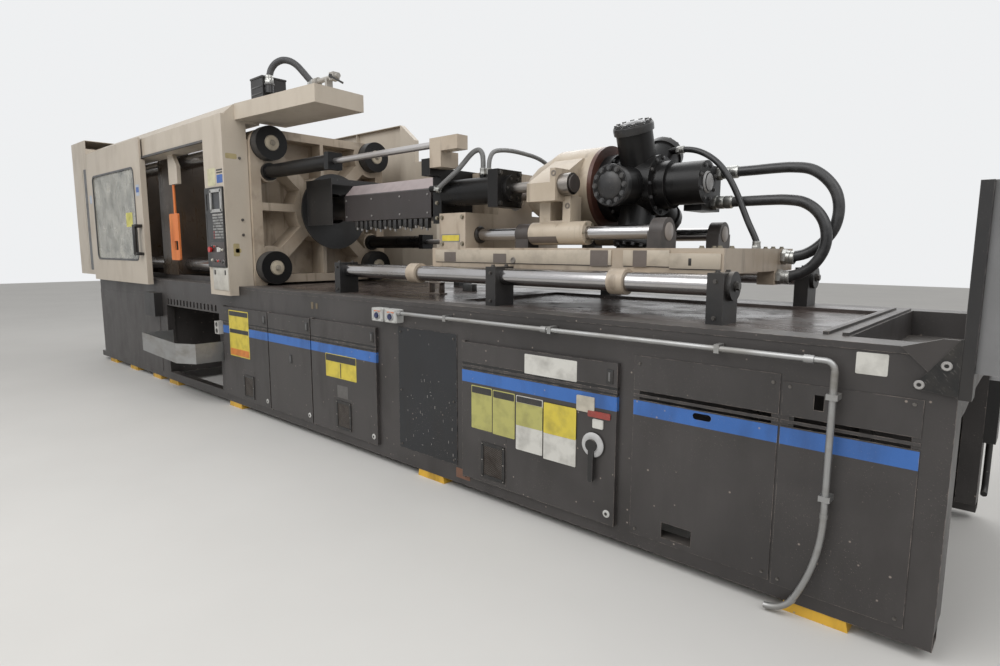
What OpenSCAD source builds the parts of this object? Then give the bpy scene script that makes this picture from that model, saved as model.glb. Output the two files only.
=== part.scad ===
// Horizontal injection moulding machine, clamp on the left, injection unit on the right.
// Millimetres. The origin is on the floor under the middle of the footprint.
// The modules work in the machine's own frame, and place() moves them to that origin:
// x runs along the base from its injection end (0) towards the clamp (negative),
// y runs from the operator's face of the base (0) to the far side, z is up from the floor.

/* [Base] */
// Length of the welded base
base_length = 10080; // [10040:10:10140]
// Width over the two side frames
base_width = 1860; // [1840:5:1890]
// Height of the deck above the floor
deck_height = 1238; // [1220:2:1250]
// Height of the levelling pads
pad_height = 50; // [40:2:60]
// Height of the bottom rails
rail_height = 70; // [60:2:80]
// Depth of the side frame posts
post_depth = 80; // [60:5:110]
// Width of the top beams
beam_width = 165; // [150:5:175]
// Depth of the top beams
beam_depth = 140; // [120:5:150]
// Thickness of the deck plate
deck_plate_t = 28; // [26:1:32]
// Depth of the drip tray below the deck
tray_depth = 21; // [12:1:23]
// Length of the open pit at the injection end
pit_length = 401; // [380:5:430]
// Length of the cross member beside the pit
cross_length = 117; // [100:5:130]

/* [Covers] */
// Thickness of the flat cover plates
cover_t = 4; // [3:0.5:6]
// Thickness of a door pan
door_depth = 24; // [22:1:28]
// Thickness of a door's sheet
door_sheet_t = 6; // [4:0.5:8]
// Height of the narrow doors
door_height = 905; // [880:5:912]
// Width of the door by the clamp
door_1_width = 920; // [880:10:940]
// Width of the middle door
door_2_width = 720; // [680:10:740]
// Width of the third door
door_3_width = 900; // [860:10:920]
// Width of the electrical cabinet's door
cabinet_width = 1160; // [1120:10:1180]
// Width of the black cover
black_cover_width = 600; // [560:10:620]
// Width of each cover plate by the injection end
cover_a_width = 710; // [680:10:730]
// Width of the last cover plate
cover_b_width = 510; // [480:10:530]
// Width of the posts between covers
post_width = 70; // [60:5:90]
// Gap between neighbouring doors
door_gap = 16; // [14:1:22]
// Radius of the door pivots
door_pivot_r = 3; // [2.5:0.5:4]

/* [Clamp] */
// Height of the machine's axis above the deck
axis_height = 772; // [765:1:780]
// Diameter of the tie bars
tie_bar_d = 170; // [160:2:176]
// Distance between tie bars across the machine
tie_bar_span_y = 1230; // [1210:5:1250]
// Distance between tie bars in height
tie_bar_span_z = 1190; // [1180:5:1200]
// Thickness of the fixed platen
fixed_platen_t = 450; // [430:5:460]
// Thickness of the moving platen
moving_platen_t = 420; // [400:5:440]
// Thickness of the cylinder platen
cylinder_platen_t = 350; // [330:5:370]
// Distance from the fixed platen to the moving platen, fully open to rest
mould_space = 1450; // [1400:10:1480]
// Diameter of the clamp ram
ram_d = 440; // [420:5:446]
// Bore of the clamp cylinder
clamp_bore_d = 470; // [460:2:500]
// Outer diameter of the clamp cylinder
clamp_cylinder_d = 640; // [620:5:680]
// Diameter of the locating bore for the mould
locating_d = 127; // [120:1:160]
// Depth of the locating bore
locating_depth = 30; // [20:1:40]
// Diameter of the mould bolt holes
mould_bolt_d = 25; // [20:1:32]
// Spacing of the mould bolt holes
mould_bolt_pitch = 400; // [380:10:420]

/* [Injection unit] */
// Diameter of the support rods of the carriage
support_rod_d = 108; // [100:2:116]
// Distance between the support rods
support_rod_span = 1370; // [1350:5:1380]
// Height of the support rods above the deck
support_rod_height = 187; // [180:1:200]
// Diameter of the upper guide rods
guide_rod_d = 88; // [80:2:96]
// Distance between the upper guide rods
guide_rod_span = 800; // [780:5:820]
// Outer diameter of the barrel
barrel_d = 230; // [216:2:236]
// Bore of the barrel
barrel_bore_d = 90; // [80:1:100]
// Outer diameter of the injection cylinders
injection_cylinder_d = 190; // [180:2:200]
// Distance between the injection cylinders
injection_cylinder_span = 900; // [885:5:915]
// Diameter of the injection rods
injection_rod_d = 70; // [60:2:76]
// Outer diameter of the carriage cylinders
pull_cylinder_d = 130; // [120:2:136]
// Diameter of the carriage rods
pull_rod_d = 50; // [40:1:58]
// Radius of the motor's casing
motor_r = 190; // [180:2:200]
// Diameter of the motor's radial cylinders
motor_cylinder_d = 230; // [220:2:236]

/* [Guards] */
// Distance of the operator's guard in front of the base
guard_offset = 100; // [95:1:105]
// Width of the sliding gate
gate_width = 1985; // [1960:5:2000]
// Height of the sliding gate
gate_height = 1687; // [1670:1:1695]
// Thickness of the guard sheets
guard_sheet_t = 6; // [4:0.5:8]
// Height of the tall rear box above the deck
rear_box_height = 1812; // [1790:2:1840]
// Length of the tall rear box
rear_box_length = 630; // [610:5:640]
// Height of the control column above the deck
column_height = 1602; // [1590:2:1610]
// Width of the control column
column_width = 420; // [400:5:430]
// Length of the canopy beam
canopy_length = 1219; // [1205:2:1231]
// Angle by which the canopy beam turns inwards
canopy_angle = 4.8; // [4:0.2:5.4]

/* [Fits] */
// Radial clearance of the running fits
running_fit = 0.05; // [0.02:0.01:0.09]
// Gap between faces that slide past each other
slide_gap = 0.3; // [0.2:0.1:0.5]

/* [Hidden] */
$fn = 48;

// Heights and widths that the whole machine shares
mid_y = base_width / 2;
rail_top = pad_height + rail_height;
frame_top = deck_height - deck_plate_t;
beam_bottom = frame_top - beam_depth;
axis_z = deck_height + axis_height;
tray_top = deck_height - tray_depth;

// Places along the side of the base, from the injection end to the clamp end
leg_width = 100;
cover_gap = 10;
ribbed_post_width = 230;
door_post_width = 130;
recess_width = 1390;
panel_post_width = 230;
panel_inset = 150;
cover_b_x = -leg_width - cover_b_width;
cover_a_x = cover_b_x - cover_gap - cover_a_width;
cabinet_x = cover_a_x - post_width - cabinet_width;
black_cover_x = cabinet_x - post_width - black_cover_width;
door_3_x = black_cover_x - ribbed_post_width - door_3_width;
door_2_x = door_3_x - door_2_width;
door_1_x = door_2_x - door_1_width;
recess_x1 = door_1_x - door_post_width;
recess_x0 = recess_x1 - recess_width;
panel_x1 = recess_x0 - panel_post_width;
panel_x0 = -base_length + panel_inset;
bay_lap = 30;
door_back = -1;
door_top = rail_top + door_height;
recess_top = 940;
slot_strip_z = [955, 1020];

// Places along the machine's axis
fixed_platen_x1 = -5600;
fixed_platen_x0 = fixed_platen_x1 - fixed_platen_t;
moving_face_x = fixed_platen_x0 - mould_space;
moving_back_x = moving_face_x - moving_platen_t;
cylinder_face_x = moving_back_x - 1130;
cylinder_back_x = cylinder_face_x - cylinder_platen_t;
bar_half_y = tie_bar_span_y / 2;
bar_half_z = tie_bar_span_z / 2;
platen_corner_r = 165;
platen_half_y = bar_half_y + platen_corner_r;
platen_z0 = axis_z - bar_half_z - 153;
platen_z1 = axis_z + bar_half_z + 150;
bar_bore_r = tie_bar_d / 2 + running_fit;
nut_d = 320;
nut_length = 120;
nozzle_hole_r = 130;
way_height = 52;
way_y = [170, 270];
clamp_beam_width = 280;

// Places of the injection unit
rod_half = support_rod_span / 2;
rod_z = deck_height + support_rod_height;
ring_fit_r = support_rod_d / 2 + running_fit;
ring_r = 72.5;
sled_x = [-3280, -1050];
sled_half = 550;
sled_z = [rod_z + 50, rod_z + 185];
feed_x = [-3200, -2930];
feed_z = sled_z[1] + 250;
plate_t = 90;
guide_half = guide_rod_span / 2;
guide_z = sled_z[1] + 95;
sleeve_x = [-2420, -1985];
sleeve_r = 75;
end_support_x = [-1525, -1440];
inj_half = injection_cylinder_span / 2;
inj_x = [feed_x[0], -2600];
inj_rod_end_x = -2060;
rod_nut_r = 68;
wing_x = [-2385, -2155];
drum_x = [-2700, -2620, -2480, -2430, -2060];
drum_r = [150, 200, 255, 278, 280];
motor_x = [drum_x[4], -1985, -1700];
barrel_front_x = -5500;
barrel_back_x = -2950;

// Guards
guard_y = -guard_offset;
rear_box_x1 = -9750;
rear_box_x0 = rear_box_x1 - rear_box_length;
far_guard_y = base_width + 40;
far_guard_t = 60;
gate_x1 = -7761;
gate_x0 = gate_x1 - gate_width;
gate_z0 = deck_height - 62;
gate_z1 = gate_z0 + gate_height;
column_x0 = fixed_platen_x0 - 10;
column_x1 = column_x0 + column_width;
column_top = deck_height + column_height;
column_back = 145;
column_front = guard_y + 5;
header_z = [deck_height + 1393, deck_height + 1615, deck_height + 1700];
header_y = [-60, 280];
canopy_z = [column_top - 42, column_top + 104];
canopy_root_y = 37;
canopy_depth = 515;
canopy_x1 = column_x1 + canopy_length * cos(canopy_angle);
console_x1 = 380;
chute_front_y = -400;
footprint_mid = [(rear_box_x0 + console_x1) / 2, (chute_front_y + far_guard_y + far_guard_t) / 2];

// Moves a part from the machine's own frame to the middle of its footprint
module place() { translate([-footprint_mid.x, -footprint_mid.y, 0]) children(); }

// Box between two corners
module block(low, high) { translate(low) cube(high - low); }

// Extrusions of an outline: (x, z) along y, (y, z) along x, and (x, y) along z
module along_y(y0, y1) { translate([0, y1, 0]) rotate([90, 0, 0]) linear_extrude(y1 - y0) children(); }
module along_x(x0, x1) { translate([x0, 0, 0]) rotate([90, 0, 90]) linear_extrude(x1 - x0) children(); }
module along_z(z0, z1) { translate([0, 0, z0]) linear_extrude(z1 - z0) children(); }

// Round bar along x, y or z
module rod_x(x0, x1, r, y, z) { translate([x0, y, z]) rotate([0, 90, 0]) cylinder(h = x1 - x0, r = r); }
module rod_y(y0, y1, r, x, z) { translate([x, y1, z]) rotate([90, 0, 0]) cylinder(h = y1 - y0, r = r); }
module rod_z(z0, z1, r, x, y) { translate([x, y, z0]) cylinder(h = z1 - z0, r = r); }

// Solid turned about a line along x, from an outline of (radius, x)
module turned_x(y, z, outline) {
  translate([0, y, z]) rotate([0, 90, 0]) rotate_extrude() polygon(outline);
}

// Rectangle between two corners with round corners
module soft_rect(low, high, r) {
  translate(low + [r, 0]) square([high.x - low.x - 2 * r, high.y - low.y]);
  translate(low + [0, r]) square([high.x - low.x, high.y - low.y - 2 * r]);
  for (x = [low.x + r, high.x - r], y = [low.y + r, high.y - r])
    translate([x, y]) circle(r);
}

// The children and their mirror image about the middle of the machine
module both_sides() {
  children();
  translate([0, 2 * mid_y, 0]) mirror([0, 1, 0]) children();
}

// The children at each tie bar
module at_tie_bars() {
  for (side = [-1, 1], level = [-1, 1])
    translate([0, mid_y + side * bar_half_y, axis_z + level * bar_half_z]) children();
}

// Cord or hose: a ring of points at each point of the route
function unit(v) = v / norm(v);
function route_way(route, i) =
  unit(route[min(i + 1, len(route) - 1)] - route[max(i - 1, 0)]);
function ring_points(centre, way, side, r, sides) =
  let (u = unit(cross(side, way)), v = cross(way, u))
  [for (j = [0:sides - 1]) centre + r * (u * cos(360 * j / sides) + v * sin(360 * j / sides))];
module cord_tube(route, r, side, sides = 8) {
  rings = len(route);
  polyhedron(
    points = [for (i = [0:rings - 1]) each ring_points(route[i], route_way(route, i), side, r, sides)],
    faces = concat(
      [[for (j = [0:sides - 1]) j]],
      [for (i = [0:rings - 2], j = [0:sides - 1])
        let (a = i * sides + j, b = i * sides + (j + 1) % sides)
        each [[a, a + sides, b + sides], [a, b + sides, b]]],
      [[for (j = [sides - 1:-1:0]) (rings - 1) * sides + j]]));
}

// Base: two side frames with bays, one on each side
frame_bays = [
  [-leg_width - cover_b_width + bay_lap, -leg_width - bay_lap, rail_top + bay_lap, 1000],
  [cover_a_x + bay_lap, cover_a_x + cover_a_width - bay_lap, rail_top + bay_lap, 1000],
  [cabinet_x + bay_lap, cabinet_x + cabinet_width - bay_lap, rail_top + bay_lap, 985],
  [black_cover_x + bay_lap, black_cover_x + black_cover_width - bay_lap, 200, 1000],
  [door_3_x + bay_lap, door_3_x + door_3_width - bay_lap, rail_top + bay_lap, 990],
  [door_2_x + bay_lap, door_2_x + door_2_width - bay_lap, rail_top + bay_lap, 990],
  [door_1_x + bay_lap, door_1_x + door_1_width - bay_lap, rail_top + bay_lap, 990],
  [recess_x0, recess_x1, rail_top + 20, recess_top],
  [panel_x0 + bay_lap, panel_x1 - bay_lap, rail_top + bay_lap, 1000]];

module side_frame_outline() {
  difference() {
    union() {
      translate([-base_length, pad_height]) square([base_length, rail_height]);
      translate([panel_x0, pad_height]) square([-panel_x0, frame_top - pad_height]);
    }
    for (bay = frame_bays)
      translate([bay[0], bay[2]]) square([bay[1] - bay[0], bay[3] - bay[2]]);
  }
}

strip_slot_width = 40;
strip_slot_pitch = 90;
rail_depth = 120;
rail_wall = 8;
leg_depth = 200;
way_x = [cylinder_back_x + 5, fixed_platen_x0 - 50];

module side_frame() {
  difference() {
    union() {
      along_y(0, post_depth) side_frame_outline();
      block([panel_x0, 0, beam_bottom], [0, beam_width, frame_top]);
      block([panel_x0, 0, beam_bottom], [fixed_platen_x1, clamp_beam_width, deck_height]);
      block([fixed_platen_x1, -5, frame_top], [0, beam_width, deck_height]);
      block([-base_length, 0, pad_height], [0, rail_depth, rail_top]);
      block([-leg_width, 0, rail_top], [0, leg_depth, beam_bottom]);
      block([way_x[0], way_y[0], deck_height], [way_x[1], way_y[1], deck_height + way_height]);
    }
    block([-base_length - 1, rail_wall, pad_height + rail_wall],
      [1, rail_depth - rail_wall, rail_top - rail_wall]);
    for (x = [recess_x0 + 40:strip_slot_pitch:recess_x1 - 60])
      block([x, -1, slot_strip_z[0]], [x + strip_slot_width, post_depth + 1, slot_strip_z[1]]);
  }
}

// Pivot brackets of one door, above and below it
pivot_in = [6, 7.5];
bracket_t = 8;
bracket_length = 24;
pin_length = 20;
module door_brackets(x, z0, z1) {
  for (low = [true, false]) {
    z = low ? z0 - slide_gap - bracket_t : z1 + slide_gap;
    block([x, -door_depth + door_back, z], [x + bracket_length, 0, z + bracket_t]);
    rod_z(low ? z : z - pin_length, low ? z + bracket_t + pin_length : z + bracket_t,
      door_pivot_r, x + pivot_in.x, -door_depth + door_back + pivot_in.y);
  }
}

door_span = [rail_top + bracket_t + 1, door_top];
cabinet_span = [rail_top + bracket_t + 1, 1017];
module side_frames() {
  color([0.33, 0.31, 0.30]) place() {
    both_sides() side_frame();
    for (x = [door_1_x, door_2_x, door_3_x])
      door_brackets(x + door_gap / 2, door_span[0], door_span[1]);
    door_brackets(cabinet_x, cabinet_span[0], cabinet_span[1]);
  }
}

// Bulkheads, cross beams, the pit's floor and the beam between the end legs
bulkhead_t = 40;
pit_floor_z = 1090;
end_beam_t = 20;
end_beam_z = 950;
module cross_members() {
  inner = post_depth;
  color([0.30, 0.28, 0.27]) place() {
    for (x = [panel_x0 + 60, recess_x0 - 60, recess_x1 + 20, door_2_x - 20, black_cover_x - 120,
      cover_a_x - 55])
      block([x, inner, rail_top], [x + bulkhead_t, base_width - inner, beam_bottom]);
    block([cylinder_back_x + 20, clamp_beam_width, beam_bottom],
      [cylinder_face_x - 20, base_width - clamp_beam_width, deck_height]);
    block([fixed_platen_x0 + 10, clamp_beam_width, beam_bottom],
      [fixed_platen_x1, base_width - clamp_beam_width, deck_height]);
    along_y(beam_width, base_width - beam_width) cross_member_outline();
    block([-pit_length, beam_width, pit_floor_z - 12], [-end_beam_t, base_width - beam_width, pit_floor_z]);
    end_beam();
  }
}

module cross_member_outline() {
  x0 = -pit_length - cross_length;
  ridge_h = 14;
  ridge_w = 24;
  translate([x0, beam_bottom]) square([cross_length, deck_height - beam_bottom]);
  for (x = [x0 + 8, x0 + cross_length - ridge_w - 8])
    translate([x, deck_height - 1]) square([ridge_w, ridge_h + 1]);
}

module end_beam() {
  arch_r = 6000;
  difference() {
    block([-end_beam_t, leg_depth, end_beam_z], [0, base_width - leg_depth, frame_top]);
    rod_x(-end_beam_t - 1, 1, arch_r, mid_y, end_beam_z - arch_r + 30);
  }
  block([-end_beam_t, beam_width, frame_top - 1], [0, base_width - beam_width, deck_height]);
}

// Deck over the middle of the base, with the shallow drip tray
tray_edge = 360;
module deck_plate() {
  tray_x = [-2950, -pit_length - cross_length - 30];
  color([0.42, 0.36, 0.33]) place() difference() {
    block([fixed_platen_x1, beam_width, frame_top],
      [-pit_length - cross_length, base_width - beam_width, deck_height]);
    block([tray_x[0], tray_edge, tray_top], [tray_x[1], base_width - tray_edge, deck_height + 1]);
  }
}

pad_places = [-9760, -8945, -8130, -7600, -6000, -3040, -560];
pad_length = 270;
module levelling_pads() {
  pad_width = 110;
  color([0.95, 0.72, 0.10]) place() both_sides()
    for (x = pad_places)
      along_y(4, pad_width) polygon([[x, 0], [x + pad_length, 0],
        [x + pad_length - 10, pad_height], [x + 10, pad_height]]);
}

// Plain panels: one in front by the clamp, and a row on the far side
module side_panels() {
  color([0.36, 0.34, 0.33]) place() {
    cover_sheet(panel_x0, panel_x1, rail_top, 1025);
    translate([0, 2 * mid_y, 0]) mirror([0, 1, 0])
      for (bay = frame_bays)
        cover_sheet(bay[0] - bay_lap + 3, bay[1] + bay_lap - 3, rail_top, 1050);
  }
}
module cover_sheet(x0, x1, z0, z1) { block([x0, -cover_t, z0], [x1, 0, z1]); }

// Flat covers in front: black one, and two by the injection end
groove_z = [844, 872];
groove_h = [14, 19];
groove_depth = 3;
module grooves(x0, x1, y) {
  for (i = [0, 1])
    block([x0 - 1, y - 1, groove_z[i]], [x1 + 1, y + groove_depth, groove_z[i] + groove_h[i]]);
}
module cover_plates() {
  color([0.36, 0.34, 0.33]) place() {
    cover_sheet(black_cover_x, black_cover_x + black_cover_width, 170, 1055);
    difference() {
      cover_sheet(cover_a_x, cover_a_x + cover_a_width, rail_top, beam_bottom);
      finger_hole();
      vent_notch();
      grooves(cover_a_x, cover_a_x + cover_a_width, 1 - cover_t);
    }
    difference() {
      cover_sheet(cover_b_x, -leg_width, rail_top - 10, 1040);
      square_hole();
      grooves(cover_b_x, -leg_width, 1 - cover_t);
    }
  }
}
module finger_hole() {
  hole_r = 16;
  x = cover_a_x + 365;
  z = 812;
  rod_y(-cover_t - 1, 1, hole_r, x - 30, z);
  rod_y(-cover_t - 1, 1, hole_r, x + 30, z);
  block([x - 30, -cover_t - 1, z - hole_r], [x + 30, 1, z + hole_r]);
}
module vent_notch() {
  x = cover_a_x + 180;
  block([x, -cover_t - 1, rail_top + 30], [x + 158, 1, rail_top + 110]);
}
module square_hole() {
  x = cover_b_x + 128;
  block([x, -cover_t - 1, 935], [x + 38, 1, 1000]);
}

// Doors: pans with a solid hinge edge, bored for the pivots
module door(x0, x1, z0, z1) {
  y0 = door_back - door_depth;
  edge = 14;
  flange = 5;
  difference() {
    block([x0, y0, z0], [x1, door_back, z1]);
    block([x0 + edge, y0 + door_sheet_t, z0 + flange + 20], [x1 - flange, door_back + 1, z1 - flange - 20]);
    grooves(x0, x1, y0);
    for (z = [z0 - 1, z1 - pin_length - 1])
      rod_z(z, z + pin_length + 2, door_pivot_r + running_fit, x0 + pivot_in.x, y0 + pivot_in.y);
  }
}
lock_r = 9;
lock_proud = 4;
module door_locks(x1, z0, z1) {
  y0 = door_back - door_depth;
  for (z = [z0 + 60, z1 - 60])
    rod_y(y0 - lock_proud, y0 + 1, lock_r, x1 - 45, z);
}
// Louvred vent: a recess with slats across it
module vent_slats(x0, x1, z0, z1) {
  y0 = door_back - door_depth;
  slats = 8;
  pitch = (z1 - z0) / slats;
  for (i = [0:slats - 1])
    along_x(x0, x1) polygon([[y0 - 1, z0 + (i + 0.05) * pitch], [y0 - 1, z0 + (i + 0.55) * pitch],
      [y0 + door_sheet_t + 1, z0 + (i + 0.85) * pitch], [y0 + door_sheet_t + 1, z0 + (i + 0.35) * pitch]]);
}
door_grey = [0.36, 0.34, 0.33];
module access_door_1() {
  x0 = door_1_x + door_gap / 2;
  x1 = door_1_x + door_1_width - door_gap / 2;
  color(door_grey) place() {
    difference() {
      door(x0, x1, door_span[0], door_span[1]);
      vent_slats(x0 + 420, x0 + 560, 240, 420);
    }
    door_locks(x1, door_span[0], door_span[1]);
  }
}
module access_door_2() {
  x0 = door_2_x + door_gap / 2;
  x1 = door_2_x + door_2_width - door_gap / 2;
  color(door_grey) place() {
    door(x0, x1, door_span[0], door_span[1]);
    door_locks(x1, door_span[0], door_span[1]);
  }
}
module access_door_3() {
  x0 = door_3_x + door_gap / 2;
  x1 = door_3_x + door_3_width - door_gap / 2;
  color(door_grey) place() {
    difference() {
      door(x0, x1, door_span[0], door_span[1]);
      vent_slats(x0 + 330, x0 + 490, 210, 410);
    }
    door_locks(x1, door_span[0], door_span[1]);
  }
}

// Cabinet door with a vent and the round plate of the disconnect switch
switch_x = cabinet_x + 1010;
switch_z = 557;
switch_ring_r = 55;
shaft_r = 10;
module cabinet_door() {
  x1 = cabinet_x + cabinet_width - door_gap;
  y0 = door_back - door_depth;
  color(door_grey) place() difference() {
    union() {
      difference() {
        door(cabinet_x, x1, cabinet_span[0], cabinet_span[1]);
        vent_slats(cabinet_x + 160, cabinet_x + 360, 300, 460);
      }
      door_locks(x1, cabinet_span[0], cabinet_span[1]);
      rod_y(y0 - 10, door_back, switch_ring_r, switch_x, switch_z);
    }
    rod_y(y0 - 11, y0 + 12, shaft_r + running_fit, switch_x, switch_z);
  }
}
module disconnect_handle() {
  y0 = door_back - door_depth - 10;
  lever_length = 190;
  lever_width = 32;
  color([0.08, 0.08, 0.08]) place() {
    rod_y(y0 - 24, y0 - slide_gap, 34, switch_x, switch_z);
    rod_y(y0 - 1, y0 + 20, shaft_r, switch_x, switch_z);
    along_y(y0 - 24, y0 - 8) {
      translate([switch_x - lever_width / 2, switch_z - lever_length])
        square([lever_width, lever_length]);
      translate([switch_x, switch_z - lever_length]) circle(lever_width / 2);
    }
  }
}

// Bent sheet chute in front of the recess, with its front corner bevelled
chute_x = [-7376, -6040];
chute_z = [460, 660];
chute_bevel = [205, 110];
chute_skew = 70;
module chute_outline(inset) {
  polygon([[chute_x[0] + inset, 2 * inset],
    [chute_x[0] + inset, chute_front_y + chute_skew + inset],
    [chute_x[1] - chute_bevel.x - inset / 2, chute_front_y + inset],
    [chute_x[1] - inset, chute_front_y + chute_bevel.y + inset / 2],
    [chute_x[1] - inset, 2 * inset]]);
}
module parts_chute() {
  sheet = 5;
  color([0.62, 0.62, 0.60]) place() difference() {
    along_z(chute_z[0], chute_z[1]) chute_outline(0);
    along_z(chute_z[0] + sheet, chute_z[1] + 1) chute_outline(sheet);
  }
}

// Switch boxes on the side of the base below the gate
module limit_boxes() {
  knob_r = 22;
  color([0.12, 0.12, 0.12]) place() {
    block([-7950, -90, 800], [-7640, -cover_t, 1080]);
    rod_x(-7990, -7950, knob_r, -50, 960);
    block([-6110, -60, 740], [-6022, 0, 870]);
  }
}

// Two push-button boxes on the top beam
box_x = [[-3454, -3325], [-3305, -3170]];
box_y = -62;
box_z = [1085, 1180];
button_r = 19;
button_travel = 6;
button_proud = 10;
stem_r = 8;
stem_length = 30;
module button_boxes() {
  color([0.80, 0.80, 0.78]) place() {
    difference() {
      for (span = box_x)
        along_y(box_y, 0) soft_rect([span[0], box_z[0]], [span[1], box_z[1]], 8);
      for (span = box_x)
        rod_y(box_y - 1, box_y + stem_length + button_travel + 2, stem_r + running_fit,
          (span[0] + span[1]) / 2, button_z);
    }
  }
}
button_z = box_z[0] + 42;
module push_button(span) {
  x = (span[0] + span[1]) / 2;
  rod_y(box_y - button_travel - button_proud, box_y - button_travel - slide_gap, button_r, x, button_z);
  rod_y(box_y - button_travel - 1, box_y + stem_length, stem_r, x, button_z);
}
module push_button_left() { color([0.10, 0.14, 0.30]) place() push_button(box_x[0]); }
module push_button_right() { color([0.10, 0.14, 0.30]) place() push_button(box_x[1]); }

// Conduit from the button boxes to the end leg, and the flexible one down the leg
conduit_r = 13;
conduit_at = [-50, 1157];
elbow_x = -440;
module conduit_run() {
  bend_r = 38;
  flex_r = 14;
  tail_z = 504;
  tail_r = 900;
  tail_angle = 27;
  tail_tip_r = 130;
  color([0.66, 0.66, 0.64]) place() {
    rod_x(box_x[1][1], elbow_x, conduit_r, conduit_at.x, conduit_at.y);
    for (x = [-3170, -1900, -520])
      rod_x(x, x + 40, conduit_r + 5, conduit_at.x, conduit_at.y);
    translate([elbow_x, conduit_at.x, conduit_at.y - bend_r]) rotate([90, 0, 0])
      rotate_extrude(angle = 90) translate([bend_r, 0]) circle(conduit_r);
    rod_z(tail_z, conduit_at.y - bend_r, flex_r, elbow_x + bend_r, conduit_at.x);
    translate([elbow_x + bend_r - tail_r, conduit_at.x, tail_z]) rotate([-90, 0, 0])
      rotate_extrude(angle = tail_angle) translate([tail_r, 0]) circle(flex_r);
    translate([elbow_x + bend_r - tail_r * (1 - cos(tail_angle)), conduit_at.x,
      tail_z - tail_r * sin(tail_angle)]) rotate([0, tail_angle, 0])
      translate([-tail_tip_r, 0, 0]) rotate([-90, 0, 0])
      rotate_extrude(angle = 90 - tail_angle) translate([tail_tip_r, 0]) circle(flex_r);
    rod_z(tail_z - 10, tail_z + 10, flex_r + 2, elbow_x + bend_r, conduit_at.x);
    translate([elbow_x + bend_r - tail_r * (1 - cos(tail_angle)), conduit_at.x,
      tail_z - tail_r * sin(tail_angle)]) rotate([0, tail_angle, 0])
      cylinder(h = 20, r = flex_r + 2, center = true);
    for (x = [-2700, -1850, -900])
      block([x, -cover_t - 60, conduit_at.y - 20], [x + 24, 0, conduit_at.y + 20]);
    for (z = [1000, 570])
      block([elbow_x + bend_r - 22, -cover_t - 66, z], [elbow_x + bend_r + 22, -cover_t, z + 24]);
  }
}

// Tall box over the clamp cylinder and the guard along the far side, as one sheet shell
module rear_guard() {
  s = guard_sheet_t;
  top = deck_height + rear_box_height;
  far_y = far_guard_y + far_guard_t;
  far_top = top - 50;
  far_x1 = -5250;
  far_guard_pitch = 850;
  color([0.85, 0.82, 0.74]) place() {
    difference() {
      block([rear_box_x0, guard_y, deck_height], [rear_box_x1, far_y, top]);
      block([rear_box_x0 + s, guard_y + s, deck_height - 1], [rear_box_x1 + 1, far_y - s, top - s]);
      block([-9965, guard_y - 1, 1310], [-9951, guard_y + s + 1, 2660]);
    }
    difference() {
      along_y(far_guard_y, far_y) polygon([[rear_box_x1 - 1, deck_height], [far_x1 + 350, deck_height],
        [far_x1 + 350, 2570], [far_x1, 2570], [far_x1, 2810], [far_x1 - 240, far_top],
        [rear_box_x1 - 1, far_top]]);
      for (x = [rear_box_x1 + s:far_guard_pitch:far_x1 - far_guard_pitch])
        block([x, far_guard_y - 1, deck_height + 12 + s],
          [x + far_guard_pitch - s, far_y - s, far_top - s]);
    }
    block([rear_box_x1 - 1, base_width - 60, deck_height], [far_x1, far_guard_y + 1, deck_height + 12]);
    block([rear_box_x1 - s, guard_y, header_z[0]], [rear_box_x1, header_y[1], header_z[2]]);
  }
}

// Header over the opening, with the gate's track and the hanger of the safety bar
track_z = [header_z[0], header_z[0] + 22];
hanger_x = [-7310, -7072];
hanger_y = [40, 80];
module guard_header() {
  color([0.86, 0.83, 0.75]) place() {
    along_x(rear_box_x1, column_x1) header_outline();
    block([rear_box_x1, header_y[0] - 18, track_z[0]], [column_x0 - 8, header_y[0], track_z[1]]);
    safety_bar_hanger();
  }
}
// Section of the header, stepped at the back over the tie-bar nuts
nut_top_z = axis_z + bar_half_z + nut_d / 2 + 15;
nut_front_y = mid_y - bar_half_y - nut_d / 2 - 15;
module header_outline() {
  polygon([[header_y[0], header_z[0]], [nut_front_y, header_z[0]], [nut_front_y, nut_top_z],
    [header_y[1], nut_top_z], [header_y[1], header_z[2]], [header_y[0] + 90, header_z[2]],
    [header_y[0], header_z[1]]]);
}
hanger_z = 2309;
module safety_bar_hanger() {
  difference() {
    along_y(hanger_y[0], hanger_y[1]) polygon([[hanger_x[0], hanger_z], [hanger_x[1], hanger_z],
      [hanger_x[1], 2500], [hanger_x[0] + 130, header_z[0]], [hanger_x[0], header_z[0]]]);
    rod_z(hanger_z - 1, header_z[0], bar_rod_r + running_fit, bar_rod_x, bar_rod_y);
  }
}

// Control column, with an apron in front of the base
apron_z = deck_height - 88;
module control_column() {
  color([0.87, 0.84, 0.76]) place() {
    block([column_x0, column_front, deck_height], [column_x1, column_back, header_z[0]]);
    block([column_x0, column_front, apron_z], [column_x1, -6, deck_height]);
    block([column_x0, column_front, header_z[0] - 1], [column_x1, header_y[0], column_top]);
  }
}

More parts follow.
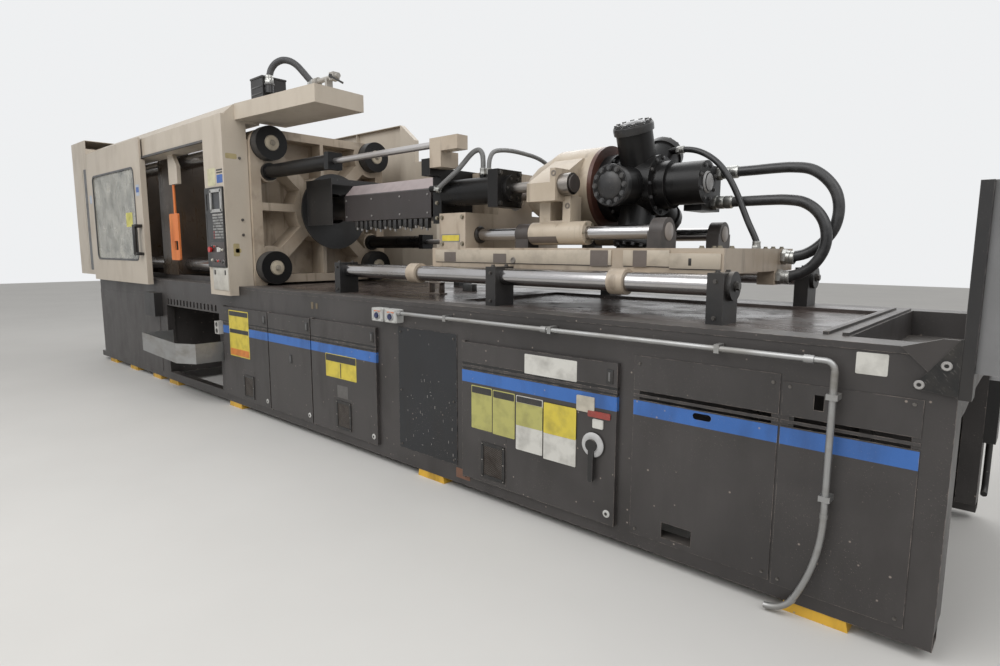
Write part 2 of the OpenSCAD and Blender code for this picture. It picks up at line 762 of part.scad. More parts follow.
// Operator panel on the column's front
panel_x = [column_x0 + 20, column_x1 - 20];
panel_z = [deck_height + 182, deck_height + 942];
panel_t = 18;
estop_at = [panel_x[0] + 90, panel_z[0] + 170];
selector_at = [panel_x[0] + 280, panel_z[0] + 170];
panel_stem_r = 9;
panel_stem = 14;
module operator_panel() {
  y = column_front - panel_t;
  color([0.14, 0.13, 0.13]) place() difference() {
    along_y(y, column_front) soft_rect([panel_x[0], panel_z[0]], [panel_x[1], panel_z[1]], 12);
    block([panel_x[0] + 30, y - 1, panel_z[1] - 214], [panel_x[1] - 30, y + 5, panel_z[1] - 60]);
    block([panel_x[0] + 20, y - 1, panel_z[0] + 257], [panel_x[1] - 20, y + 2, panel_z[1] - 250]);
    for (at = [estop_at, selector_at])
      rod_y(y - 1, y + panel_stem + 2, panel_stem_r + running_fit, at.x, at.y);
  }
}
estop_travel = 5;
module estop_button() {
  y = column_front - panel_t;
  color([0.75, 0.08, 0.06]) place() {
    rod_y(y - estop_travel - 22, y - estop_travel - slide_gap, 26, estop_at.x, estop_at.y);
    rod_y(y - estop_travel - 1, y + panel_stem - estop_travel, panel_stem_r, estop_at.x, estop_at.y);
  }
}
module selector_knob() {
  y = column_front - panel_t;
  color([0.85, 0.85, 0.82]) place() {
    rod_y(y - 12, y - slide_gap, 18, selector_at.x, selector_at.y);
    rod_y(y - 1, y + panel_stem, panel_stem_r, selector_at.x, selector_at.y);
    block([selector_at.x - 6, y - 30, selector_at.y - 22], [selector_at.x + 6, y - 11, selector_at.y + 22]);
  }
}

// Canopy beam from the column, turned a little inwards, with the black box and the valve pipe on it
function canopy_front_y(x) = canopy_root_y + (x - column_x1) * tan(canopy_angle);
module canopy_beam() {
  back = canopy_depth / cos(canopy_angle);
  back_x = canopy_x1 - canopy_depth * sin(canopy_angle);
  color([0.86, 0.80, 0.70]) place() along_z(canopy_z[0], canopy_z[1])
    polygon([[column_x1, canopy_root_y], [canopy_x1, canopy_front_y(canopy_x1)],
      [back_x, canopy_front_y(back_x) + back], [column_x1, canopy_root_y + back]]);
}
canopy_hose_r = 29;
fitting_r = 36;
canopy_box_x = [-5458, -5240];
canopy_box_y = [120, 350];
canopy_box_z1 = canopy_z[1] + 196;
elbow_at = [canopy_box_x[1] + 32, 170, canopy_z[1] + 86];
elbow_top = elbow_at.z + 45;
pipe_r = 21;
pipe_x0 = -4797;
pipe_y = 380;
pipe_z = canopy_z[1] + 110;
bracket_x = [-4770, -4600];
bracket_half = 30;
valve_x = -4500;
valve_half = 32;
module canopy_box() {
  color([0.10, 0.10, 0.10]) place() {
    block([canopy_box_x[0], canopy_box_y[0], canopy_z[1]],
      [canopy_box_x[1], canopy_box_y[1], canopy_box_z1]);
    rod_x(canopy_box_x[1] - 1, elbow_at.x, fitting_r, elbow_at.y, elbow_at.z);
    rod_z(elbow_at.z - fitting_r, elbow_top, fitting_r, elbow_at.x, elbow_at.y);
    rod_x(pipe_x0, canopy_x1 - 10, pipe_r, pipe_y, pipe_z);
    rod_x(pipe_x0, pipe_x0 + 59, fitting_r, pipe_y, pipe_z);
    for (x = bracket_x)
      block([x, pipe_y - bracket_half, canopy_z[1]], [x + bracket_half, pipe_y + bracket_half, pipe_z]);
    difference() {
      block([valve_x - valve_half, pipe_y - valve_half, pipe_z - valve_half],
        [valve_x + valve_half, pipe_y + valve_half, pipe_z + valve_half]);
      rod_y(pipe_y - valve_half - 1, pipe_y - pipe_r, shaft_r + running_fit, valve_x, pipe_z);
    }
  }
}
// Handle of the valve: it hangs down beside the pipe
handle_length = 220;
handle_slope = 26;
module valve_handle() {
  y = pipe_y - valve_half;
  color([0.10, 0.10, 0.10]) place() {
    rod_y(y - 14, y - slide_gap, 16, valve_x, pipe_z);
    rod_y(y - 1, y + 8, shaft_r, valve_x, pipe_z);
    along_y(y - 14, y - 8) translate([valve_x, pipe_z]) rotate(-handle_slope)
      translate([-8, -8]) square([handle_length, 16]);
  }
}
canopy_route = [[elbow_at.x, elbow_at.y, elbow_top], [elbow_at.x, elbow_at.y, elbow_top + 30],
  [-5202, 174, 3150], [-5187, 184, 3200], [-5145, 206, 3246], [-5085, 238, 3267], [-5025, 275, 3256],
  [-4975, 310, 3220], [-4930, 340, 3165], [-4892, 362, 3115], [-4855, 376, 3075],
  [pipe_x0 - 25, pipe_y, pipe_z], [pipe_x0, pipe_y, pipe_z]];
module canopy_hose() {
  color([0.45, 0.46, 0.46]) place() cord_tube(canopy_route, canopy_hose_r, [0, 1, 0]);
}

// Platens: outline of a cross with round corners about the tie bars
module platen_outline() {
  translate([mid_y - platen_half_y + platen_corner_r, platen_z0])
    square([2 * (platen_half_y - platen_corner_r), platen_z1 - platen_z0]);
  translate([mid_y - platen_half_y, platen_z0 + platen_corner_r])
    square([2 * platen_half_y, platen_z1 - platen_z0 - 2 * platen_corner_r]);
  for (side = [-1, 1], z = [platen_z0 + platen_corner_r, platen_z1 - platen_corner_r])
    translate([mid_y + side * (platen_half_y - platen_corner_r), z]) circle(platen_corner_r);
}
module mould_bolts(x0, x1) {
  for (side = [-1, 1], level = [-1, 1])
    translate([0, mid_y + side * mould_bolt_pitch / 2, axis_z + level * mould_bolt_pitch / 2])
      rod_x(x0, x1, mould_bolt_d / 2, 0, 0);
}
mould_bolt_depth = 50;
pocket_depth = 230;
foot_y = [150, 280];
module stationary_platen() {
  x0 = fixed_platen_x0;
  x1 = fixed_platen_x1;
  color([0.85, 0.81, 0.72]) place() difference() {
    union() {
      along_x(x0, x1) platen_outline();
      both_sides() block([x0 + 20, foot_y[0], deck_height],
        [x1 - 20, foot_y[1], platen_z0 + platen_corner_r]);
    }
    at_tie_bars() rod_x(x0 - 1, x1 + 1, bar_bore_r, 0, 0);
    rod_x(x0 - 1, x0 + locating_depth + 1, locating_d / 2, mid_y, axis_z);
    rod_x(x0 + locating_depth, x1 + 1, nozzle_hole_r, mid_y, axis_z);
    mould_bolts(x0 - 1, x0 + mould_bolt_depth);
    platen_pockets(x1);
  }
}
// Cored pockets of the rear face, between the hub, the arms to the tie bars and the cross ribs
module platen_pockets(x1) {
  hub_r = 330;
  boss_r = 215;
  pull_pad_r = 100;
  arm_width = 120;
  rib = [76, 38];
  half = [bar_half_y + 65, bar_half_z + 70];
  arm_angle = atan(tie_bar_span_z / tie_bar_span_y);
  along_x(x1 - pocket_depth, x1 + 1) translate([mid_y, axis_z]) difference() {
    square(2 * half, center = true);
    circle(hub_r);
    square([2 * half.x + 2, rib.x], center = true);
    square([rib.y, 2 * half.y + 2], center = true);
    for (turn = [arm_angle, -arm_angle])
      rotate(turn) square([3 * half.x, arm_width], center = true);
    for (side = [-1, 1], level = [-1, 1])
      translate([side * bar_half_y, level * bar_half_z]) circle(boss_r);
    for (side = [-1, 1])
      translate(side * pull_at) circle(pull_pad_r);
  }
}

shoe_gap_z = deck_height + way_height + slide_gap;
shoe_length = 60;
module moving_platen() {
  x0 = moving_back_x;
  x1 = moving_face_x;
  color([0.80, 0.76, 0.68]) place() difference() {
    union() {
      along_x(x0, x1) difference() {
        platen_outline();
        translate([0, platen_z0 - 1]) square([base_width, shoe_gap_z + 10 - platen_z0]);
      }
      both_sides() block([x0 - shoe_length, way_y[0] - 10, shoe_gap_z],
        [x1 - 20, way_y[1] + 10, platen_z0 + platen_corner_r]);
    }
    at_tie_bars() rod_x(x0 - shoe_length - 1, x1 + 1, bar_bore_r, 0, 0);
    rod_x(x1 - locating_depth, x1 + 1, locating_d / 2, mid_y, axis_z);
    mould_bolts(x1 - mould_bolt_depth, x1 + 1);
    at_ejector_rods() rod_x(x0 - 1, x1 + 1, ejector_rod_r + running_fit, 0, 0);
  }
}
ejector_rod_r = 20;
ejector_reach = 250;
module at_ejector_rods() {
  for (side = [-1, 1], level = [-1, 1])
    translate([0, mid_y + side * ejector_reach, axis_z + level * ejector_reach]) children();
}
module ejector_plate() {
  plate_x = [moving_back_x - 180, moving_back_x - 140];
  color([0.50, 0.50, 0.52]) place() {
    along_x(plate_x[0], plate_x[1]) difference() {
      translate([mid_y, axis_z]) circle(ejector_reach * 1.414 + 45);
      translate([mid_y, axis_z]) circle(ram_d / 2 + 10);
    }
    at_ejector_rods() rod_x(plate_x[1] - 1, moving_face_x - 30, ejector_rod_r, 0, 0);
  }
}

// Clamp cylinder with its platen, and the ram
cylinder_end_x = cylinder_back_x - 930;
gland_length = 70;
ram_tail_x = cylinder_end_x + 290;
module cylinder_platen() {
  color([0.78, 0.74, 0.66]) place() difference() {
    union() {
      along_x(cylinder_back_x, cylinder_face_x) platen_outline();
      both_sides() block([cylinder_back_x + 20, foot_y[0], deck_height],
        [cylinder_face_x - 20, foot_y[1], platen_z0 + platen_corner_r]);
      rod_x(cylinder_end_x, cylinder_back_x + 1, clamp_cylinder_d / 2, mid_y, axis_z);
    }
    both_sides() block([way_x[0] - 1, way_y[0] - 1, deck_height - 1],
      [cylinder_face_x + 1, way_y[1] + 1, deck_height + way_height]);
    at_tie_bars() rod_x(cylinder_back_x - 1, cylinder_face_x + 1, bar_bore_r, 0, 0);
    rod_x(cylinder_end_x + 30, cylinder_face_x - gland_length, clamp_bore_d / 2, mid_y, axis_z);
    rod_x(cylinder_face_x - gland_length - 1, cylinder_face_x + 1, ram_d / 2 + running_fit, mid_y, axis_z);
  }
}
module clamp_ram() {
  piston_length = 100;
  color([0.75, 0.75, 0.77]) place() turned_x(mid_y, axis_z, [
    [0, ram_tail_x], [clamp_bore_d / 2 - running_fit, ram_tail_x],
    [clamp_bore_d / 2 - running_fit, ram_tail_x + piston_length], [ram_d / 2, ram_tail_x + piston_length],
    [ram_d / 2, moving_back_x], [0, moving_back_x]]);
}

// Tie bars, and their round nuts: the front ones are closed by a retaining plate with a bolt
nut_cover = 15;
module tie_bars() {
  color([0.78, 0.78, 0.80]) place() at_tie_bars()
    rod_x(cylinder_back_x - nut_length - 10, fixed_platen_x1 + nut_length - nut_cover, tie_bar_d / 2, 0, 0);
}
module tie_bar_nuts() {
  plate_r = 70;
  bolt_r = 16;
  front_x = fixed_platen_x1 + nut_length;
  color([0.08, 0.08, 0.08]) place() at_tie_bars() {
    difference() {
      union() {
        rod_x(fixed_platen_x1, front_x, nut_d / 2, 0, 0);
        rod_x(front_x - 1, front_x + 8, plate_r, 0, 0);
        rod_x(front_x - 1, front_x + 20, bolt_r, 0, 0);
      }
      rod_x(fixed_platen_x1 - 1, front_x - nut_cover, bar_bore_r, 0, 0);
    }
    difference() {
      rod_x(cylinder_back_x - nut_length, cylinder_back_x, nut_d / 2, 0, 0);
      rod_x(cylinder_back_x - nut_length - 1, cylinder_back_x + 1, bar_bore_r, 0, 0);
    }
  }
}

// Safety bar that drops behind the gate
bar_rod_x = -7240;
bar_rod_r = 14;
bar_rod_y = (hanger_y[0] + hanger_y[1]) / 2;
module safety_bar() {
  color([0.88, 0.42, 0.12]) place() {
    difference() {
      along_y(hanger_y[0] + 10, hanger_y[1] - 10) soft_rect([-7395, 1467], [-7155, 1990], 20);
      block([-7289, hanger_y[0], 1582], [-7189, hanger_y[1], 1683]);
    }
    rod_z(1989, hanger_z + 40, bar_rod_r, bar_rod_x, bar_rod_y);
  }
}

// Sliding gate: sheet with folded edges, a window opening and a handle
gate_return = 60;
window_x = [gate_x0 + 202, gate_x1 - 231];
window_z = [gate_z0 + 284, gate_z1 - 318];
window_r = 70;
handle_x = gate_x1 - 150;
module sliding_gate() {
  s = guard_sheet_t;
  fold = 22;
  color([0.86, 0.83, 0.75]) place() {
    along_y(guard_y, guard_y + s) gate_face();
    difference() {
      block([gate_x0, guard_y + s - 1, gate_z0], [gate_x1, guard_y + fold, gate_z1]);
      block([gate_x0 + s, guard_y, gate_z0 + s], [gate_x1 - s, guard_y + fold + 1, gate_z1 - s]);
    }
    block([gate_x1 - s, guard_y + s - 1, gate_z0], [gate_x1, guard_y + gate_return, header_z[0] - 11]);
    for (x = [gate_x0 + 150, gate_x1 - 230])
      block([x, guard_y + s - 1, track_z[1] + slide_gap], [x + 80, header_y[0] - 1, track_z[1] + 30]);
    gate_handle();
  }
}
module gate_face() {
  difference() {
    translate([gate_x0, gate_z0]) square([gate_width, gate_height]);
    soft_rect([window_x[0], window_z[0]], [window_x[1], window_z[1]], window_r);
  }
}
module gate_handle() {
  z = [deck_height + 300, deck_height + 620];
  stand = 45;
  bar = 9;
  rod_z(z[0], z[1], bar, handle_x, guard_y - stand);
  for (level = [z[0] + bar, z[1] - bar])
    rod_y(guard_y - stand, guard_y + 1, bar, handle_x, level);
}
module gate_window() {
  lap = 12;
  color([0.55, 0.60, 0.60, 0.5]) place()
    along_y(guard_y + guard_sheet_t, guard_y + guard_sheet_t + 6)
      soft_rect([window_x[0] - lap, window_z[0] - lap], [window_x[1] + lap, window_z[1] + lap], window_r);
}

// Round shield at the nozzle and the hinged hood beside it
shield_z = axis_z - 30;
shield_x = [fixed_platen_x1 + 200, fixed_platen_x1 + 220];
shield_r = 380;
hood_x = [shield_x[1] + 10, shield_x[1] + 450];
hood_hinge = [mid_y + 370, axis_z + 250];
hood_y0 = mid_y - 330;
hinge_pin_r = 8;
module purge_shield() {
  hole_r = 150;
  ring_r = 200;
  color([0.84, 0.80, 0.71]) place() {
    difference() {
      union() {
        rod_x(shield_x[0], shield_x[1], shield_r, mid_y, shield_z);
        rod_x(fixed_platen_x1, shield_x[0] + 1, ring_r, mid_y, axis_z);
        along_x(shield_x[0], shield_x[1]) polygon([[mid_y, shield_z], [mid_y, axis_z + 280],
          [hood_hinge.x + 30, axis_z + 280], [hood_hinge.x + 30, axis_z + 200], [mid_y + 300, shield_z]]);
      }
      rod_x(fixed_platen_x1 - 1, shield_x[1] + 1, hole_r, mid_y, axis_z);
    }
    rod_x(shield_x[1] - 1, hood_x[0] + 70, hinge_pin_r, hood_hinge.x, hood_hinge.y);
  }
}
module purge_guard() {
  s = 4;
  barrel_r = hinge_pin_r + 6;
  z0 = axis_z - 182;
  z1 = hood_hinge.y;
  lip = 54;
  color([0.84, 0.80, 0.71]) place() {
    difference() {
      union() {
        block([hood_x[0], hood_y0, z1 - s], [hood_x[1], hood_hinge.x, z1]);
        rod_x(hood_x[0], hood_x[0] + 90, barrel_r, hood_hinge.x, hood_hinge.y);
      }
      rod_x(hood_x[0] - 1, hood_x[0] + 75, hinge_pin_r + running_fit, hood_hinge.x, hood_hinge.y);
    }
    block([hood_x[0], hood_y0, z0], [hood_x[1], hood_y0 + s, z1]);
    block([hood_x[1] - s, hood_y0, z1 - lip], [hood_x[1], hood_hinge.x - barrel_r, z1]);
  }
}

// Carriage cylinders on the fixed platen and their rods
pull_at = [bar_half_y - 15, 260 - bar_half_z];
upper_pull = [mid_y - pull_at.x, axis_z - pull_at.y];
lower_pull = [mid_y + pull_at.x, axis_z + pull_at.y];
pull_x1 = [-4450, -4630];
pull_wall = 12;
module pull_cylinder(at, x1) {
  flange_r = pull_cylinder_d / 2 + 18;
  head_half = pull_cylinder_d / 2 + 7;
  difference() {
    union() {
      rod_x(fixed_platen_x1, x1, pull_cylinder_d / 2, at.x, at.y);
      rod_x(fixed_platen_x1, fixed_platen_x1 + 40, flange_r, at.x, at.y);
      block([x1 - 60, at.x - head_half, at.y - head_half], [x1, at.x + head_half, at.y + head_half]);
    }
    rod_x(fixed_platen_x1 + 60, x1 - 40, pull_cylinder_d / 2 - pull_wall, at.x, at.y);
    rod_x(x1 - 41, x1 + 1, pull_rod_d / 2 + running_fit, at.x, at.y);
  }
}
module pull_in_cylinders() {
  color([0.10, 0.10, 0.10]) place() {
    pull_cylinder(upper_pull, pull_x1[0]);
    pull_cylinder(lower_pull, pull_x1[1]);
  }
}
module pull_rod(at, x1, length) {
  piston = [x1 - 560, x1 - 510];
  rod_x(piston[0], piston[1], pull_cylinder_d / 2 - pull_wall - running_fit, at.x, at.y);
  rod_x(piston[1] - 1, length, pull_rod_d / 2, at.x, at.y);
}
bracket_x1 = -2914;
module pull_in_rods() {
  upper_box_z = [upper_pull.y - 55, upper_pull.y + 40];
  color([0.82, 0.78, 0.70]) place() {
    pull_rod(upper_pull, pull_x1[0], feed_x[0] + 20);
    pull_rod(lower_pull, pull_x1[1], feed_x[0] + 20);
    block([feed_x[0], upper_pull.x - 40, upper_box_z[0]], [bracket_x1, upper_pull.x + 60, upper_box_z[1]]);
    block([feed_x[0], upper_pull.x - 40, upper_box_z[0] - 110],
      [feed_x[0] + 120, upper_pull.x + 130, upper_box_z[0] + 1]);
    block([feed_x[0], mid_y + sled_half, lower_pull.y - 60],
      [feed_x[0] + 160, lower_pull.x + 50, lower_pull.y + 60]);
  }
}

// Carriage: support rods on pedestals, sled, feed block
pedestal_x = [[-4245, -4170], [-2522, -2437], [-1040, -955]];
pedestal_half_y = 90;
module support_rods() {
  color([0.80, 0.80, 0.82]) place() both_sides()
    rod_x(pedestal_x[0][0] + 30, pedestal_x[2][1] - 1, support_rod_d / 2, mid_y - rod_half, rod_z);
}
module rod_pedestals() {
  cap = 65;
  hub_r = 72;
  end_x = pedestal_x[2][1];
  color([0.13, 0.12, 0.12]) place() both_sides() {
    rod_x(end_x - 1, end_x + 22, hub_r, mid_y - rod_half, rod_z);
    difference() {
      for (span = pedestal_x)
        block([span[0], mid_y - rod_half - pedestal_half_y, deck_height],
          [span[1], mid_y - rod_half + pedestal_half_y, rod_z + cap]);
      rod_x(pedestal_x[0][0] - 1, end_x - 1, support_rod_d / 2 + running_fit, mid_y - rod_half, rod_z);
    }
  }
}
sled_ring_x = [[-3355, -3258], [-1630, -1530]];
ring_arm = [12, 70];
sled_window_x = [-2250, -1200];
manifold_y = [mid_y + 220, mid_y + 410];
manifold_z = sled_z[0] - 85;
module sled() {
  rail_w = 190;
  color([0.82, 0.77, 0.66]) place() {
    both_sides() difference() {
      union() {
        for (span = sled_ring_x) {
          rod_x(span[0], span[1], ring_r, mid_y - rod_half, rod_z);
          block([span[0] + ring_arm[0], mid_y - rod_half, rod_z - 30],
            [span[1] + ring_arm[1], mid_y - sled_half + 140, sled_z[0] + 1]);
        }
      }
      rod_x(sled_ring_x[0][0] - 1, sled_ring_x[1][1] + ring_arm[1] + 1, ring_fit_r, mid_y - rod_half, rod_z);
    }
    difference() {
      block([sled_x[0], mid_y - sled_half, sled_z[0]], [sled_x[1], mid_y + sled_half, sled_z[1]]);
      block([sled_window_x[0], mid_y - sled_half + rail_w, sled_z[0] - 1],
        [sled_window_x[1], mid_y + sled_half - rail_w, sled_z[1] + 1]);
    }
    block([sled_x[1] - 100, manifold_y[0], manifold_z], [sled_x[1], manifold_y[1], sled_z[1]]);
  }
}
throat_r = 40;
spigot_r = 55;
spigot_depth = 30;
throat_x = -3065;
module feed_block() {
  block_top = axis_z + 170;
  color([0.80, 0.74, 0.60]) place() difference() {
    union() {
      block([feed_x[0], mid_y - sled_half, sled_z[1]], [feed_x[1], mid_y + sled_half, feed_z]);
      block([feed_x[0], mid_y - 200, feed_z - 1], [feed_x[1], mid_y + 200, block_top]);
    }
    rod_x(feed_x[0] - 1, feed_x[1] + 1, barrel_d / 2 + running_fit, mid_y, axis_z);
    rod_z(axis_z, block_top + 1, throat_r, throat_x, mid_y);
    rod_z(block_top - spigot_depth, block_top + 1, spigot_r, throat_x, mid_y);
  }
}

// Injection cylinders on their black mounting plate
cylinder_wall = 20;
port_top = axis_z + 115;
conduit_port_x = -2850;
conduit_elbow = [feed_x[0] - plate_t / 2, mid_y - 566, axis_z + 30];
crossover_x = [-2795, -2920];
module injection_cylinders() {
  plate_x = [feed_x[0] - plate_t, feed_x[0]];
  head_length = 90;
  head_half = 125;
  gland_proud = 40;
  gland_r = 90;
  color([0.09, 0.09, 0.09]) place() {
    difference() {
      union() {
        along_x(plate_x[0], plate_x[1]) mounting_plate_outline();
        rod_z(axis_z + 80, port_top, 24, conduit_port_x, mid_y - inj_half);
        for (side = [-1, 1])
          rod_z(axis_z + 80, port_top, 21, crossover_x[max(side, 0)], mid_y + side * inj_half);
        rod_y(mid_y - 566, mid_y - 529, 24, conduit_elbow.x, conduit_elbow.z);
        rod_x(conduit_elbow.x - 24, conduit_elbow.x + 30, 24, conduit_elbow.y, conduit_elbow.z);
        both_sides() {
          rod_x(inj_x[0] - 1, inj_x[1] - head_length + 1, injection_cylinder_d / 2,
            mid_y - inj_half, axis_z);
          block([inj_x[1] - head_length, mid_y - inj_half - head_half, axis_z - head_half],
            [inj_x[1], mid_y - inj_half + head_half, axis_z + head_half]);
          rod_x(inj_x[1] - 1, inj_x[1] + gland_proud, gland_r, mid_y - inj_half, axis_z);
        }
      }
      rod_x(plate_x[0] - 1, plate_x[1] + 1, barrel_d / 2 + 2, mid_y, axis_z);
      both_sides() {
        rod_x(inj_x[0] + 30, inj_x[1] - 40, injection_cylinder_d / 2 - cylinder_wall,
          mid_y - inj_half, axis_z);
        rod_x(inj_x[1] - 41, inj_x[1] + gland_proud + 1, injection_rod_d / 2 + running_fit,
          mid_y - inj_half, axis_z);
      }
    }
  }
}
module mounting_plate_outline() {
  translate([mid_y - 530, axis_z - 220]) square([1060, 400]);
  translate([upper_pull.x - 40, axis_z + 120]) square([170, upper_pull.y - axis_z - 215]);
}
module injection_rods() {
  y = mid_y - inj_half;
  nut_x = [wing_x[1], inj_rod_end_x - 10];
  groove_r = 48;
  disc_r = 55;
  color([0.80, 0.80, 0.82]) place() both_sides() {
    rod_x(inj_x[0] + 70, inj_rod_end_x, injection_rod_d / 2, y, axis_z);
    rod_x(inj_x[0] + 40, inj_x[0] + 90, injection_cylinder_d / 2 - cylinder_wall - running_fit, y, axis_z);
    rod_x(nut_x[0], nut_x[1] - 6, rod_nut_r, y, axis_z);
    rod_x(nut_x[1] - 7, nut_x[1], groove_r, y, axis_z);
    rod_x(nut_x[1] - 1, inj_rod_end_x, disc_r, y, axis_z);
  }
}

// Upper guide rods of the injection drive
module guide_rods() {
  foot_half = 95;
  stop_x = [sleeve_x[0] - 120, sleeve_x[0] - 10];
  stop_r = 68;
  color([0.80, 0.80, 0.82]) place() both_sides() {
    rod_x(feed_x[1], end_support_x[1], guide_rod_d / 2, mid_y - guide_half, guide_z);
    rod_x(end_support_x[0], end_support_x[1], 80, mid_y - guide_half, guide_z);
    block([end_support_x[0], mid_y - guide_half - foot_half, sled_z[1]],
      [end_support_x[1], mid_y - guide_half + foot_half, guide_z]);
    rod_x(stop_x[0], stop_x[1], stop_r, mid_y - guide_half, guide_z);
    block([stop_x[0], mid_y - guide_half - stop_r + 10, sled_z[1]],
      [stop_x[1], mid_y - guide_half + stop_r - 10, guide_z]);
  }
}

// Injection drive housing: two sleeves, legs, wings and a drum
module injection_housing() {
  leg_x = [-2355, -2107];
  leg_y = [mid_y - guide_half - 30, mid_y - guide_half + 90];
  leg_z1 = axis_z - rod_nut_r - 4;
  window_x = [-2265, -2168];
  window_z = [sled_z[1] + 176, axis_z - 98];
  lug_x = [wing_x[1] - 42, wing_x[1]];
  lug_y = [mid_y - inj_half - 80, mid_y - inj_half + 90];
  color([0.86, 0.80, 0.68]) place() difference() {
    union() {
      turned_x(mid_y, axis_z, concat([[0, drum_x[0]]], [for (i = [0:4]) [drum_r[i], drum_x[i]]],
        [[0, drum_x[4]]]));
      both_sides() {
        rod_x(sleeve_x[0], sleeve_x[1], sleeve_r, mid_y - guide_half, guide_z);
        block([leg_x[0], leg_y[0], guide_z], [leg_x[1], leg_y[1], leg_z1]);
        along_x(wing_x[0], wing_x[1]) wing_outline(lug_y[0]);
        block([lug_x[0], lug_y[0], axis_z - 100], [lug_x[1], lug_y[1], axis_z + 97]);
      }
    }
    both_sides() {
      rod_x(sleeve_x[0] - 1, sleeve_x[1] + 1, guide_rod_d / 2 + running_fit, mid_y - guide_half, guide_z);
      rod_x(wing_x[0] - 1, wing_x[1] + 1, injection_rod_d / 2 + running_fit, mid_y - inj_half, axis_z);
      block([window_x[0], leg_y[0] - 1, window_z[0]], [window_x[1], leg_y[1] + 1, window_z[1]]);
    }
    rod_x(drum_x[0] - 1, drum_x[0] + 160, shank_r + running_fit, mid_y, axis_z);
  }
}
// Section of a wing, which rises to the drum as a gusset
module wing_outline(y) {
  polygon([[y, axis_z - 104], [y, axis_z + 12], [mid_y - 230, axis_z + 185], [mid_y - 200, axis_z + 185],
    [mid_y - 200, axis_z - 104]]);
}
shank_r = 40;

// Radial piston motor: casing, five cylinders with caps, rear barrel
motor_tilt = 3;
motor_cap_r = 122;
motor_reach = [355, 400];
motor_tail = [[150, -1620], [130, -1400], [57, -1385]];
port_x = -1480;
module hydraulic_motor() {
  mid_x = (motor_x[1] + motor_x[2]) / 2;
  flange_r = 220;
  color([0.07, 0.07, 0.07]) place() {
    turned_x(mid_y, axis_z, [[0, motor_x[0]], [flange_r, motor_x[0]], [flange_r, motor_x[1]],
      [motor_r, motor_x[1]], [motor_r, motor_x[2]], [motor_tail[0][0], motor_x[2]], motor_tail[0],
      [motor_tail[1][0], motor_tail[0][1]], motor_tail[1], [motor_tail[2][0], motor_tail[1][1]],
      motor_tail[2], [0, motor_tail[2][1]]]);
    translate([mid_x, mid_y, axis_z]) rotate([motor_tilt, 0, 0])
      for (i = [0:4])
        rotate([72 * i, 0, 0]) rotate([90, 0, 0]) {
          cylinder(h = motor_reach[0], r = motor_cylinder_d / 2);
          translate([0, 0, motor_reach[0] - 1])
            cylinder(h = motor_reach[1] - motor_reach[0] + 1, r = motor_cap_r);
        }
    block([port_x - 120, mid_y + 110, axis_z - 160], [port_x, mid_y + 390, axis_z + 130]);
    rod_x(port_x - 320, port_x - 220, 22, mid_y + 200, axis_z + 240);
  }
}

// Barrel with nozzle and heater bands, its shroud, and the screw
nozzle_tip_x = -5770;
band_x = [-5180, -4780, -4420, -4060, -3720];
module barrel() {
  r = barrel_d / 2;
  bore = barrel_bore_d / 2;
  band_r = r + 20;
  color([0.45, 0.42, 0.40]) place() difference() {
    union() {
      turned_x(mid_y, axis_z, [[8, nozzle_tip_x], [22, nozzle_tip_x], [32, nozzle_tip_x + 20],
        [32, nozzle_tip_x + 120], [85, nozzle_tip_x + 160], [85, barrel_front_x], [r, barrel_front_x],
        [r, barrel_back_x], [bore, barrel_back_x], [bore, barrel_front_x + 30], [8, barrel_front_x - 30]]);
      for (x = band_x)
        rod_x(x, x + 260, band_r, mid_y, axis_z);
    }
    rod_x(barrel_front_x + 30, barrel_back_x + 1, bore, mid_y, axis_z);
    rod_z(axis_z, axis_z + r + 30, throat_r, throat_x, mid_y);
  }
}
shroud_x = [-4870, -3650];
module shroud_outline(grow) {
  polygon([[mid_y - 230 - grow, axis_z - 150 - 2 * grow], [mid_y - 230 - grow, axis_z + 80],
    [mid_y - 130, axis_z + 185 + grow], [mid_y + 130, axis_z + 185 + grow],
    [mid_y + 230 + grow, axis_z + 80], [mid_y + 230 + grow, axis_z - 150 - 2 * grow]]);
}
module barrel_shroud() {
  color([0.86, 0.83, 0.76]) place() {
    along_x(shroud_x[0], shroud_x[1]) difference() {
      shroud_outline(0);
      translate([0, -1]) shroud_outline(-4);
    }
    for (x = [shroud_x[0] + 400, shroud_x[1] - 120])
      along_x(x, x + 6) difference() {
        shroud_outline(0);
        translate([mid_y, axis_z]) circle(barrel_d / 2 + slide_gap);
        translate([mid_y - barrel_d / 2 - slide_gap, axis_z - 200]) square([barrel_d + 2 * slide_gap, 200]);
      }
  }
}
screw_front_x = barrel_front_x + 60;
module screw() {
  outer_r = barrel_bore_d / 2 - running_fit;
  root_r = 34;
  color([0.70, 0.70, 0.72]) place() turned_x(mid_y, axis_z, [[0, screw_front_x - 20],
    [root_r, screw_front_x + 40], [outer_r, screw_front_x + 60], [outer_r, screw_front_x + 180],
    [root_r, screw_front_x + 200], [root_r, -3020], [outer_r, -3010], [outer_r, barrel_back_x],
    [shank_r, barrel_back_x + 1], [shank_r, drum_x[0] + 155], [0, drum_x[0] + 155]]);
}

